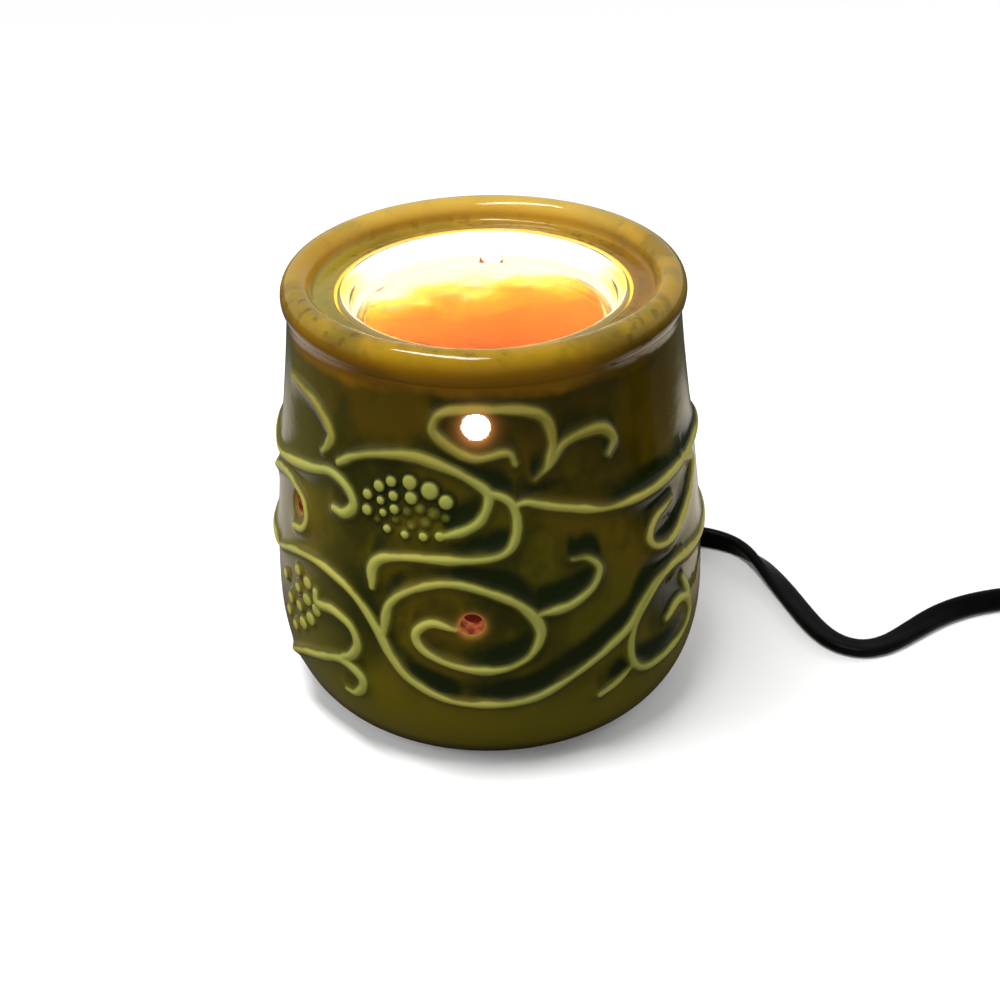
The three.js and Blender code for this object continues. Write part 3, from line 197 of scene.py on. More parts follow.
SWITCH_X = 172.0
SWITCH_Y = 15.0
SWITCH_LENGTH = 46.0
SWITCH_HEIGHT = 15.0
COIL_X = 236.0
COIL_OUTER_RADIUS = 35.0
COIL_PITCH = 3.4
COIL_TURNS = 3
COIL_EXTRA = 0.25  # part of a turn that each layer has beyond its full ones
COIL_STEPS = 72
COIL_DIP = 1.7
COIL_LIFT = 1.1
LAYER_GAP = 0.5
PLUG_X = 178.0
PLUG_LENGTH = 24.0
PLUG_HEIGHT = 13.0
EASE_STEP = 0.8
EASE_ROUNDS = 12

# Small solids: how far their hard edges are eased, and the solids that other pieces stand for
SOFT_EDGE = {"switch_base": 0.5, "switch_cover": 0.7, "switch_wheel": 0.2, "plug_body": 0.9,
             "strain_relief": 0.5, "coil_tie": 0.2, "plug_blade_1": 0.35, "plug_blade_2": 0.35}
USUAL_EDGE = 0.15
EDGE_ANGLE = 40
EDGE_SEGMENTS = 3
SOLID_WELD = 2e-6
REPLACED = {"ceramic_body", "glass_dish", "scented_oil", "bulb_glass", "cord_lead", "cord_link",
            "cord_coil", "cord_tail"}

# Places where the pot's colours change, in metres: heights, and distances to the right
BROWN_WALL = (0.058, 0.086)
# Darker mottling high up on the wall: partly glaze, partly painted shade under the rim
MOTTLE_AND_RIM_SHADE = (0.062, 0.076)
PALE_FOOT = (0.036, 0.012)
# Painted shade: heights over which the glaze darkens at the very foot, next to the floor
FOOT_PAINTED_SHADE = (0.008, 0.002)
# Painted sheen: how far left and right the glaze is made paler to stand for reflected light
LEFT_PAINTED_SHEEN = (-0.026, -0.046)
RIGHT_PAINTED_SHEEN = (0.0375, 0.0465)
AMBER_EDGE = (0.0908, 0.0938)
RIM_PAINT = (0.0975, 0.1015)
LIT_THROAT = (0.0870, 0.0910)
LIT_THROAT_END = (0.0974, 0.0962)

# Metals and mouldings by slot: name, light and dark colour, roughness, fineness of the grain, shine
METALS = {
    "plated_steel": ("plated_steel", (0.20, 0.13, 0.09), (0.13, 0.085, 0.06), 0.36, 300),
    "brass": ("stamped_brass", (0.80, 0.58, 0.24), (0.62, 0.42, 0.15), 0.25, 260),
    "bulb_cap_metal": ("rolled_cap", (0.75, 0.72, 0.66), (0.58, 0.55, 0.50), 0.3, 350),
    "bulb_wire": ("nickel_wire", (0.6, 0.59, 0.57), (0.45, 0.44, 0.43), 0.3, 900),
}
MOULDINGS = {
    "black_phenolic": ("black_phenolic", (0.006, 0.004, 0.003), (0.009, 0.006, 0.005), 0.35, 700, 0.5),
    "black_insulator": ("black_vitrite", (0.015, 0.015, 0.02), (0.025, 0.024, 0.03), 0.12, 500, 0.5),
    "black_rubber": ("black_rubber", (0.015, 0.015, 0.015), (0.024, 0.023, 0.022), 0.6, 900, 0.5),
    "black_flex": ("black_flex", (0.0015, 0.0015, 0.002), (0.003, 0.003, 0.0035), 0.30, 600, 0.06),
    "black_plastic": ("black_plastic", (0.010, 0.010, 0.011), (0.017, 0.017, 0.018), 0.35, 1100, 0.5),
    "tie_plastic": ("tie_plastic", (0.02, 0.02, 0.02), (0.03, 0.03, 0.03), 0.5, 800, 0.5),
}

# Light and floor, in metres
LAMP_STRENGTH = 60.0
FILAMENT_STRENGTH = 30.0
MOUTH_GLOW_PLACE = (0.0, 0.008, (LEDGE_Z + 5) * MM)
MOUTH_GLOW_COLOUR = (1.0, 0.70, 0.32)
MOUTH_GLOW_POWER = 0.022
MOUTH_GLOW_SIZE = 0.012
LIGHT_TARGET = (0, 0, 0.05)
SOFT_BOXES = {  # place, size, power, and whether the glaze mirrors it
    "softbox_top": ((-0.20, -0.15, 0.95), (0.6, 0.16), 8.0, True),
    "softbox_left": ((-0.80, -0.20, 0.45), (0.5, 0.5), 4.0, False),
    "softbox_right": ((0.80, 0.35, 0.40), (0.45, 0.45), 2.6, False),
    "fill_front": ((0.15, -0.85, 0.08), (0.8, 0.5), 4.2, False),
}
STUDIO_TURN = (-0.6, 0.5)  # from the front of the studio to its back
STUDIO_LEVEL = (0.14, 0.65)
WHITE = (1.0, 1.0, 1.0)
FLOOR_SIZE = 6
FLOOR_PALE = 0.95  # the floor that is seen
FLOOR_BOUNCE = (0.06, 0.70)  # the floor that bounced light meets, off the cards and on them
FLOOR_WHITE = (0.25, 0.80)  # distances over which the floor turns white
FLOOR_GLOW = (0.06, 1.0)
CARDS = [((-0.115, 0.075, 0), 0.5), ((0.125, 0.055, 0), 1.0)]  # middle and share of the glow
CARD_SIZE = (0.058, 0.085, 1)
CARD_EDGE = (0.5, 1.3)
CARD_GLOW = 0.8
CARD_COLOUR = (1.0, 0.86, 0.68)


# Meshes

def add_object(name, data):
    thing = bpy.data.objects.new(name, data)
    bpy.context.scene.collection.objects.link(thing)
    return thing


def shade_round(mesh):
    mesh.polygons.foreach_set("use_smooth", np.ones(len(mesh.polygons), bool))


def mesh_piece(name, points, faces):
    mesh = bpy.data.meshes.new(name)
    mesh.from_pydata([tuple(point) for point in points], [], [tuple(face) for face in faces])
    shade_round(mesh)
    return add_object(name, mesh)


def ring_faces(rows, columns, closed):
    """Quads between rows of points that run once round; a closed skin joins its last row to its first."""
    row = np.arange(rows if closed else rows - 1)[:, None]
    column = np.arange(columns)[None, :]
    after = (row + 1) % rows
    beside = (column + 1) % columns
    this_row = [row * columns + column, row * columns + beside]
    next_row = [after * columns + beside, after * columns + column]
    return np.stack(this_row + next_row, axis=-1).reshape(-1, 4)


def points_round(radius, height, angle):
    """Points in metres at angles from the front, row by row."""
    place = [radius * np.sin(angle), -radius * np.cos(angle), height]
    return np.stack(place, axis=-1).reshape(-1, 3) * MM


def turned(name, profile, columns):
    """A profile of (radius, height) in millimetres turned about Z, its outside from the bottom up."""
    angle = np.linspace(0, 2 * math.pi, columns, endpoint=False)
    height = np.repeat(profile[:, 1:], columns, axis=1)
    closed = profile[0, 0] > 0
    faces = ring_faces(len(profile), columns, closed)
    piece = mesh_piece(name, points_round(profile[:, :1], height, angle), faces)
    if not closed:
        weld(piece)
    return piece


def weld(piece, distance=1e-6):
    form = bmesh.new()
    form.from_mesh(piece.data)
    bmesh.ops.remove_doubles(form, verts=form.verts, dist=distance)
    form.to_mesh(piece.data)
    form.free()


def smoothstep(value, low, high):
    share = np.clip((value - low) / (high - low), 0, 1)
    return share * share * (3 - 2 * share)


def unit(vectors):
    return vectors / np.linalg.norm(vectors, axis=1)[:, None]


def bezier(start, pull_start, pull_end, end, steps):
    t = np.linspace(0, 1, steps + 1)[:, None]
    a, b, c, d = (np.array(point, float) for point in (start, pull_start, pull_end, end))
    return (1 - t) ** 3 * a + 3 * (1 - t) ** 2 * t * b + 3 * (1 - t) * t**2 * c + t**3 * d


def even_spacing(points, step):
    """The same line with points about a step apart."""
    lengths = np.linalg.norm(np.diff(points[:, :3], axis=0), axis=1)
    along = np.concatenate([[0], np.cumsum(lengths)])
    places = np.linspace(0, along[-1], max(2, round(along[-1] / step) + 1))
    return np.stack([np.interp(places, along, values) for values in points.T], axis=-1)


def smooth_line(stops, steps):
    """A Catmull-Rom line through the stops, with so many steps between each two."""
    stops = np.array(stops, float)
    padded = np.vstack([2 * stops[0] - stops[1], stops, 2 * stops[-1] - stops[-2]])
    t = (np.arange(steps) / steps)[:, None]
    runs = []
    for a, b, c, d in zip(padded, padded[1:], padded[2:], padded[3:]):
        curve = (2 * a - 5 * b + 4 * c - d) * t**2 + (3 * b - a - 3 * c + d) * t**3
        runs.append(0.5 * (2 * b + (c - a) * t + curve))
    return np.vstack([*runs, stops[-1:]])


def eased(line):
    """The same line with its kinks taken out: evenly spaced points, each drawn towards its neighbours."""
    line = even_spacing(line, EASE_STEP)
    for _ in range(EASE_ROUNDS):
        line[1:-1] = (line[:-2] + line[1:-1] + line[2:]) / 3
    return line


def swept(name, outline, points, across):
    """An outline of (x, y) swept along points; across tells where the outline's x points at each."""
    along = unit(np.gradient(points, axis=0))
    up = unit(np.cross(along, across))
    side = np.cross(up, along)
    outline = np.array(outline, float)
    skin = points[:, None] + outline[None, :, :1] * side[:, None] + outline[None, :, 1:] * up[:, None]
    count = len(outline)
    faces = ring_faces(len(points), count, False).tolist()
    faces.append(list(range(count))[::-1])
    faces.append(list(range((len(points) - 1) * count, len(points) * count)))
    return mesh_piece(name, skin.reshape(-1, 3) * MM, faces)


# Materials

def colour(value):
    if isinstance(value, tuple) and len(value) == 3:
        return (*value, 1.0)
    return value


class Nodes:
    """A node tree that is filled by short calls."""

    def __init__(self, tree):
        self.tree = tree

    def put(self, socket, value):
        if isinstance(value, bpy.types.NodeSocket):
            self.tree.links.new(value, socket)
        else:
            socket.default_value = value

    def add(self, kind, inputs=None, **settings):
        """A shader node with its settings, and its inputs linked or set by name or number."""
        node = self.tree.nodes.new("ShaderNode" + kind)
        for name, value in settings.items():
            setattr(node, name, value)
        for name, value in (inputs or {}).items():
            self.put(node.inputs[name], value)
        return node

    def spread(self, value, low, high, start=0.0, end=1.0):
        """Maps a value from low..high to start..end, held at both ends."""
        inputs = {"Value": value, "From Min": low, "From Max": high, "To Min": start, "To Max": end}
        return self.add("MapRange", inputs, interpolation_type="SMOOTHSTEP").outputs["Result"]

    def mix(self, share, first, second):
        """A mix of two colours, whose sockets are the node's sixth and seventh from nought."""
        inputs = {"Factor": share, 6: colour(first), 7: colour(second)}
        return self.add("Mix", inputs, data_type="RGBA").outputs[2]

    def blend(self, share, first, second):
        """A mix of two plain values."""
        return self.add("Mix", {"Factor": share, 2: first, 3: second}).outputs[0]

    def coats(self, paint, *layers):
        """Lays colours over a paint one after another, each by its own share."""
        for share, tint in layers:
            paint = self.mix(share, paint, tint)
        return paint

    def times(self, first, second):
        return self.add("Math", {0: first, 1: second}, operation="MULTIPLY").outputs[0]

    def plus(self, first, second, held=False):
        """The sum of two values, which may be held at one."""
        return self.add("Math", {0: first, 1: second}, operation="ADD", use_clamp=held).outputs[0]


class Surface(Nodes):
    """A material and the nodes that feed its shader."""

    def __init__(self, name):
        self.material = bpy.data.materials.new(name)
        self.material.use_nodes = True
        super().__init__(self.material.node_tree)
        self.shader = self.tree.nodes["Principled BSDF"]
        self.place = self.add("TexCoord").outputs["Object"]

    def shade(self, values):
        for name, value in values.items():
            self.put(self.shader.inputs[name], colour(value))
        return self.material

    def axis(self, name):
        """How far right (X), back (Y) or up (Z) a point lies from the middle of the pot's foot."""
        return self.add("SeparateXYZ", {0: self.place}).outputs[name]

    def attribute(self, name):
        return self.add("Attribute", attribute_name=name).outputs["Fac"]

    def noise(self, scale, detail=3.0, stretch=(1, 1, 1)):
        mapping = self.add("Mapping", {"Vector": self.place, "Scale": stretch})
        inputs = {"Vector": mapping.outputs["Vector"], "Scale": scale, "Detail": detail}
        return self.add("TexNoise", inputs).outputs["Fac"]

    def clouds(self, scale, detail, low, high, start=0.0, end=1.0):
        """A noise that is spread from low..high to start..end."""
        return self.spread(self.noise(scale, detail), low, high, start, end)

    def bump(self, height, strength, distance):
        inputs = {"Height": height, "Strength": strength, "Distance": distance}
        return self.add("Bump", inputs).outputs["Normal"]


def glaze():
    """Olive glaze that breaks pale on the vine, pools dark beside it and turns amber towards the rim."""
    skin = Surface("olive_glaze")
    height = skin.axis("Z")
    patch = skin.clouds(55, 5, 0.44, 0.60)
    speck = skin.clouds(420, 2, 0.55, 0.66)
    paint = skin.coats(
        glazed_wall(skin, height),
        (amber_share(skin, height), skin.mix(patch, (0.200, 0.092, 0.0022), (0.150, 0.068, 0.0016))),
        (skin.spread(height, *RIM_PAINT), rim_paint(skin, patch, speck)),
        (skin.attribute("ledge"), ledge_paint(skin, patch, speck)),
    )
    ember = skin.attribute("ember")
    smooth = skin.clouds(90, 3, 0.3, 0.7, 0.06, 0.14)
    worn = skin.spread(skin.attribute("raised"), 0.08, 0.45, 0.0, 0.30)
    return skin.shade({
        "Base Color": paint,
        "Roughness": skin.plus(smooth, worn),
        "Specular IOR Level": 0.32,
        "Normal": skin.bump(skin.noise(240, 3), 0.12, 0.0006),
        "Emission Color": skin.mix(skin.spread(ember, 1.0, 2.0), (1.0, 0.36, 0.09), (1.0, 0.88, 0.70)),
        "Emission Strength": skin.times(ember, 0.55),
    })


def amber_share(skin, height):
    """Where the rim's amber has run down the wall: to an uneven edge, and fainter on the right."""
    uneven = skin.clouds(60, 4, 0.3, 0.7, -0.0014, 0.0014)
    run = skin.spread(skin.plus(height, uneven), *AMBER_EDGE)
    return skin.times(run, skin.spread(skin.axis("X"), 0.014, 0.036, 1.0, 0.3))


def rim_paint(skin, patch, speck):
    """Amber with browner patches, blotches and specks, and yellow at the back as painted glow of the lamp.
    """
    blotch = skin.clouds(95, 5, 0.50, 0.66)
    return skin.coats(
        skin.mix(patch, (0.31, 0.180, 0.006), (0.21, 0.138, 0.007)),
        (skin.times(blotch, 0.60), (0.125, 0.082, 0.005)),
        (skin.times(skin.times(speck, patch), 0.6), (0.070, 0.044, 0.003)),
        # Painted lamp glow: the back of the rim is made yellow where the lit mouth shines on it
        (skin.spread(skin.axis("Y"), 0.012, 0.036, 0.0, 0.6), (0.52, 0.36, 0.070)),
    )


def ledge_paint(skin, patch, speck):
    """Duller than the rim, greener on the left, redder on the right, and yellow at the back and the front
    as painted glow of the lamp.
    """
    across = skin.axis("X")
    depth = skin.axis("Y")
    return skin.coats(
        skin.mix(patch, (0.20, 0.118, 0.008), (0.105, 0.080, 0.007)),
        (skin.times(speck, 0.7), (0.045, 0.028, 0.003)),
        (skin.spread(across, -0.022, -0.036, 0.0, 0.7), (0.27, 0.225, 0.015)),
        (skin.spread(across, 0.022, 0.036, 0.0, 0.6), (0.27, 0.115, 0.003)),
        # Painted lamp glow: yellow at the back and the front, next to the lit mouth
        (skin.spread(depth, 0.018, 0.033, 0.0, 0.2), (0.70, 0.42, 0.060)),
        (skin.spread(depth, -0.018, -0.031, 0.0, 0.9), (0.95, 0.66, 0.110)),
    )


def glazed_wall(skin, height):
    """The wall's colours, with painted sheen and shade among them: clouded olive ground, green pools, and a
    vine worn pale on its crest.
    """
    drift = skin.clouds(26, 4, 0.35, 0.65)
    wear = skin.clouds(80, 4, 0.30, 0.70, -0.16, 0.12)
    worn = skin.plus(skin.attribute("raised"), wear)
    slope = skin.mix(drift, (0.092, 0.078, 0.0045), (0.072, 0.073, 0.0060))
    pale = skin.mix(drift, (0.38, 0.345, 0.065), (0.29, 0.295, 0.058))
    pale = skin.mix(skin.spread(height, 0.070, 0.084), pale, (0.235, 0.195, 0.030))
    return skin.coats(
        wall_ground(skin, height, drift),
        (pool_share(skin, height), (0.0070, 0.0115, 0.0009)),
        (skin.spread(worn, 0.36, 0.60), slope),
        (skin.spread(worn, 0.56, 0.84), pale),
    )


def wall_ground(skin, height, drift):
    """Olive with darker clouds and streaks, brown high up, and paler near the foot; paler at both sides as
    painted sheen of reflected light, darker at the very foot as painted shade, and mottled darker high up,
    partly glaze and partly painted shade under the rim.
    """
    across = skin.axis("X")
    murk_and_rim_shade = skin.clouds(34, 4, 0.42, 0.58)
    cloud = skin.spread(skin.noise(44, 5, (1, 1, 0.8)), 0.47, 0.62)
    streak = skin.spread(skin.noise(120, 5, (1, 1, 0.5)), 0.44, 0.66)
    return skin.coats(
        skin.mix(drift, (0.096, 0.062, 0.0010), (0.072, 0.062, 0.0014)),
        (skin.spread(height, *BROWN_WALL, 0.0, 0.85), (0.058, 0.034, 0.0005)),
        # Mottled darkening high up, partly glaze and partly painted shade under the rim
        (skin.times(murk_and_rim_shade, skin.spread(height, *MOTTLE_AND_RIM_SHADE, 0.0, 0.6)), (0.024, 0.017, 0.0005)),
        (skin.times(cloud, 0.85), (0.017, 0.018, 0.0005)),
        (skin.times(streak, 0.45), (0.013, 0.017, 0.0005)),
        (skin.spread(height, *PALE_FOOT, 0.0, 0.85), (0.125, 0.100, 0.0020)),
        # Painted sheen: both sides are made paler to stand for reflected room light
        (skin.spread(across, *LEFT_PAINTED_SHEEN, 0.0, 0.55), (0.135, 0.112, 0.016)),
        (skin.spread(across, *RIGHT_PAINTED_SHEEN, 0.0, 0.6), (0.190, 0.155, 0.025)),
        # Painted shade: darker at the very foot, where the pot meets the floor
        (skin.spread(height, *FOOT_PAINTED_SHADE, 0.0, 0.8), (0.018, 0.017, 0.002)),
    )


def pool_share(skin, height):
    """Where the glaze is thick enough to look dark: in patches, less so near the rim, and less on the left,
    where that weakening is painted sheen of reflected light.
    """
    shade = skin.clouds(52, 4, 0.38, 0.58, 0.50, 1.0)
    shade = skin.times(shade, skin.spread(height, 0.070, 0.086, 1.0, 0.55))
    # Painted sheen: pools are kept weaker on the left, where reflected light is painted in
    shade = skin.times(shade, skin.spread(skin.axis("X"), -0.038, -0.014, 0.3, 1.0))
    return skin.spread(skin.times(skin.attribute("pool"), shade), 0.14, 0.84)


def bisque():
    """The inside: bare red clay low down, pale slip round the lamp, a throat lit white by it, and painted
    lamp glow on the throat's sides and lip and in the bores.
    """
    clay = Surface("cream_bisque")
    height = clay.axis("Z")
    bore = clay.attribute("bore")
    ember = clay.attribute("ember")
    # Painted lamp glow: amber on the throat high up, away from its back
    side = clay.times(clay.spread(clay.axis("Y"), 0.022, 0.004), clay.spread(height, 0.086, 0.089))
    light = clay.coats(
        (1.0, 0.95, 0.82),
        (clay.spread(height, 0.0945, 0.0968), (1.0, 0.66, 0.14)),
        (side, (1.0, 0.70, 0.10)),
        (clay.times(bore, clay.spread(ember, 2.0, 1.0)), (1.0, 0.26, 0.10)),
    )
    throat = clay.times(clay.spread(height, *LIT_THROAT), clay.spread(height, *LIT_THROAT_END))
    # Painted lamp glow in the bores, mottled
    mottled = clay.times(ember, clay.clouds(520, 3, 0.38, 0.62, 0.25, 0.85))
    mottled = clay.times(mottled, clay.spread(ember, 1.0, 2.0, 1.0, 2.6))
    grain = clay.noise(900, 4)
    return clay.shade({
        "Base Color": clay_paint(clay, height, bore, side),
        "Roughness": clay.spread(grain, 0.3, 0.7, 0.6, 0.8),
        "Specular IOR Level": 0.0,
        "Normal": clay.bump(grain, 0.25, 0.0003),
        "Emission Color": light,
        "Emission Strength": clay.plus(clay.times(throat, 1.1), mottled),
    })


def clay_paint(clay, height, bore, side):
    """Red clay under pale slip, darkened in the bores as painted shade, and amber at the throat's sides and
    top as painted lamp glow.
    """
    drift = clay.clouds(45, 3, 0.35, 0.65)
    return clay.coats(
        clay.mix(drift, (0.20, 0.045, 0.022), (0.15, 0.030, 0.016)),
        (clay.spread(height, 0.034, 0.024), (0.045, 0.006, 0.005)),
        (clay.spread(height, 0.046, 0.066), clay.mix(drift, (0.78, 0.72, 0.60), (0.70, 0.62, 0.50))),
        # Painted shade: the bores are made nearly black
        (bore, (0.022, 0.0035, 0.0020)),
        # Painted lamp glow: amber on the throat's sides and lip
        (side, (0.72, 0.45, 0.05)),
        (clay.spread(height, 0.0955, 0.0968), (0.72, 0.40, 0.07)),
    )


def clear_glass():
    glass = Surface("clear_glass")
    return glass.shade({
        "Base Color": glass.mix(glass.noise(30, 2), (0.98, 1.0, 0.97), (0.96, 0.99, 0.96)),
        "Roughness": 0.01,
        "IOR": 1.5,
        "Transmission Weight": 1.0,
        "Normal": glass.bump(glass.noise(60, 2), 0.05, 0.0005),
        # Painted lamp glow: the glass emits warm light at its lip
        "Emission Color": (1.0, 0.72, 0.24),
        "Emission Strength": glass.spread(glass.axis("Z"), 0.0955, 0.0972, 0.0, 0.35),
    })


def amber_oil():
    """Orange oil with lamp light shining through it painted in: deeper orange at the front, turning yellow
    and then near white towards the back left.
    """
    oil = Surface("amber_oil")
    # Painted lamp light: this place across the oil sets how lit it looks, from the front towards the back
    # left
    depth = oil.plus(oil.axis("Y"), oil.times(oil.axis("X"), -0.20))
    depth = oil.plus(depth, oil.clouds(70, 4, 0.25, 0.75, -0.006, 0.006))
    paint = oil.coats(
        oil.mix(oil.clouds(160, 3, 0.4, 0.7), (0.33, 0.088, 0.010), (0.30, 0.078, 0.008)),
        (oil.spread(depth, -0.014, 0.012), (0.36, 0.150, 0.020)),
        (oil.spread(depth, 0.005, 0.012), (0.50, 0.30, 0.018)),
        (oil.spread(depth, 0.013, 0.022), (0.92, 0.92, 0.86)),
    )
    return oil.shade({
        "Base Color": paint,
        "Roughness": 0.02,
        "IOR": 1.2,
        "Transmission Weight": 1.0,
        "Normal": oil.bump(oil.noise(35, 2), 0.06, 0.0008),
    })


def lit_lamp():
    lamp = Surface("lit_lamp")
    rise = lamp.spread(lamp.axis("Z"), 0.044, 0.060)
    return lamp.shade({
        "Base Color": (0.9, 0.85, 0.75),
        "Roughness": lamp.clouds(400, 2, 0.3, 0.7, 0.25, 0.4),
        "Emission Color": lamp.mix(rise, (1.0, 0.62, 0.30), (1.0, 0.88, 0.70)),
        "Emission Strength": LAMP_STRENGTH,
    })


def glowing_wire():
    wire = Surface("glowing_filament")
    return wire.shade({
        "Base Color": (0.4, 0.38, 0.35),
        "Roughness": wire.clouds(2000, 2, 0.3, 0.7, 0.3, 0.5),
        "Emission Color": (1.0, 0.7, 0.35),
        "Emission Strength": FILAMENT_STRENGTH,
    })


def metal(name, light, dark, roughness, scale):
    plate = Surface(name)
    wear = plate.clouds(scale, 4, 0.35, 0.65)
    return plate.shade({
        "Base Color": plate.mix(wear, light, dark),
        "Metallic": 1.0,
        "Roughness": plate.clouds(scale * 3, 3, 0.3, 0.7, roughness, roughness + 0.15),
        "Normal": plate.bump(plate.noise(scale * 5, 2), 0.08, 0.0002),
    })


def moulding(name, light, dark, roughness, scale, shine):
    skin = Surface(name)
    grain = skin.noise(scale, 3)
    return skin.shade({
        "Base Color": skin.mix(skin.clouds(scale / 8, 3, 0.35, 0.65), light, dark),
        "Specular IOR Level": shine,
        "Roughness": skin.spread(grain, 0.3, 0.7, roughness, roughness + 0.16),
        "Normal": skin.bump(grain, 0.15, 0.0002),
    })


def make_materials():
    return {
        "glazed_ceramic": glaze(),
        "bisque": bisque(),
        "clear_glass": clear_glass(),
        "amber_oil": amber_oil(),
        "lamp_glass": lit_lamp(),
        "filament": glowing_wire(),
        **{slot: metal(*values) for slot, values in METALS.items()},
        **{slot: moulding(*values) for slot, values in MOULDINGS.items()},
    }


def finish_piece(materials, piece, body, slot, *nodes):
    """Gives a piece its material and says which body carries it and which solids it stands for."""
    if not piece.data.materials:
        piece.data.materials.append(materials[slot])
    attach(piece, body)
    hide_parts(*nodes)


# Camera

def make_camera():
    camera = add_object("camera", bpy.data.cameras.new("camera"))
    camera.location = CAMERA_PLACE
    look = (Vector(CAMERA_TARGET) - Vector(CAMERA_PLACE)).to_track_quat("-Z", "Y")
    roll = Quaternion((0, 0, 1), math.radians(CAMERA_ROLL))
    camera.rotation_euler = (look @ roll).to_euler()
    camera.data.sensor_width = CAMERA_SENSOR
    camera.data.lens = CAMERA_LENS
    camera.data.shift_x = CAMERA_SHIFT
    camera.data.clip_start = CAMERA_NEAREST
    bpy.context.scene.camera = camera


# Cords

def flex_outline():
    """Two round cores side by side with a web between them."""
    core = FLEX_THICKNESS / 2
    reach = FLEX_WIDTH / 2 - core
    outline = []
    for side, middle in ((1, 0), (-1, 180)):
        for degrees in np.linspace(middle - CORE_ARC / 2, middle + CORE_ARC / 2, CORE_POINTS):
            angle = math.radians(degrees)
            outline.append((side * reach + core * math.cos(angle), core * math.sin(angle)))
        for end in (side, -side):
            outline.append((end * WEB_HALF * reach, side * WEB_RISE * core))
    return outline


def lying_height(lift, roll):
    core = FLEX_THICKNESS / 2
    return lift + core + (FLEX_WIDTH / 2 - core) * abs(math.sin(math.radians(roll)))


def flex_line(stops):
    """Centre points and width directions of a flex through (x, y, lift, roll) stops."""
    places = [(x, y, lying_height(lift, roll), roll) for x, y, lift, roll in stops]
    line = eased(smooth_line(places, CORD_STEPS))
    roll = np.radians(line[:, 3])
    points = line[:, :3]
    along = np.gradient(points, axis=0)
    level = unit(np.stack([along[:, 1], -along[:, 0], np.zeros(len(along))], axis=-1))
    across = level * np.cos(roll)[:, None]
    across[:, 2] += np.sin(roll)
    return points, across


def lead_stops():
    azimuth = math.radians(CORD_AZIMUTH)
    lift = CORD_EXIT_Z - FLEX_WIDTH / 2
    leaving = []
    for reach in (RELIEF_TIP + SEAT_GAP, RELIEF_TIP + 2):
        leaving.append((reach * math.sin(azimuth), -reach * math.cos(azimuth), lift, 90))
    inlet = SWITCH_X - SWITCH_LENGTH / 2 - SEAT_GAP
    inlet_lift = SWITCH_HEIGHT / 2 - FLEX_THICKNESS / 2
    entering = [(inlet - 4, SWITCH_Y, inlet_lift, 0), (inlet, SWITCH_Y, inlet_lift, 0)]
    return leaving + LEAD_POINTS + entering


def coil_line():
    """In along the lower layer, out again along the upper one, clockwise from the far side."""
    middle = COIL_TURNS + COIL_EXTRA
    turns = np.linspace(0, 2 * middle, round(2 * middle * COIL_STEPS) + 1)
    inwards = middle - np.abs(turns - middle)
    dip = smoothstep(turns, COIL_TURNS - 0.5, COIL_TURNS)
    dip -= smoothstep(turns, COIL_TURNS + 0.5, COIL_TURNS + 1)
    radius = COIL_OUTER_RADIUS - COIL_PITCH * inwards - COIL_DIP * dip
    lower = COIL_LIFT + FLEX_WIDTH / 2
    climb = (FLEX_WIDTH + LAYER_GAP) * smoothstep(turns, COIL_TURNS, COIL_TURNS + 0.5)
    angle = math.pi / 2 - 2 * math.pi * turns
    centre_y = SWITCH_Y - COIL_OUTER_RADIUS
    x = COIL_X + radius * np.cos(angle)
    y = centre_y + radius * np.sin(angle)
    return np.stack([x, y, lower + climb], axis=-1), np.tile([0.0, 0.0, 1.0], (len(turns), 1))


def link_stops():
    outlet = SWITCH_X + SWITCH_LENGTH / 2 + SEAT_GAP
    lift = SWITCH_HEIGHT / 2 - FLEX_THICKNESS / 2
    return [
        (outlet, SWITCH_Y, lift, 0), (outlet + 5, SWITCH_Y, lift - 0.5, 0),
        (COIL_X - 20.3, SWITCH_Y, 2.2, 50), (COIL_X - 6.3, SWITCH_Y, COIL_LIFT, 90),
        (COIL_X - 0.3, SWITCH_Y, COIL_LIFT, 90),
    ]


def tail_stops():
    y = SWITCH_Y - 2 * COIL_OUTER_RADIUS
    end = PLUG_X + PLUG_LENGTH / 2 + SEAT_GAP
    high = COIL_LIFT + FLEX_WIDTH + LAYER_GAP
    plug_lift = PLUG_HEIGHT / 2 - FLEX_THICKNESS / 2
    return [
        (COIL_X - 0.3, y, high, 90), (COIL_X - 6.3, y, high, 90), (COIL_X - 22.3, y, 2.4, 60),
        (end + 16, y, 2, 15), (end + 5, y, plug_lift - 0.4, 0), (end, y, plug_lift, 0),
    ]


def make_cords(materials):
    points, across = flex_line(lead_stops())
    lead = swept("flex_lead", flex_outline(), points, across)
    finish_piece(materials, lead, "warmer", "black_flex", "cord_lead")

    runs = [flex_line(link_stops()), coil_line(), flex_line(tail_stops())]
    points, across = (np.vstack(parts) for parts in zip(*runs))
    coiled = swept("flex_coiled", flex_outline(), points, across)
    finish_piece(materials, coiled, "warmer", "black_flex", "cord_link", "cord_coil", "cord_tail")


# Pot

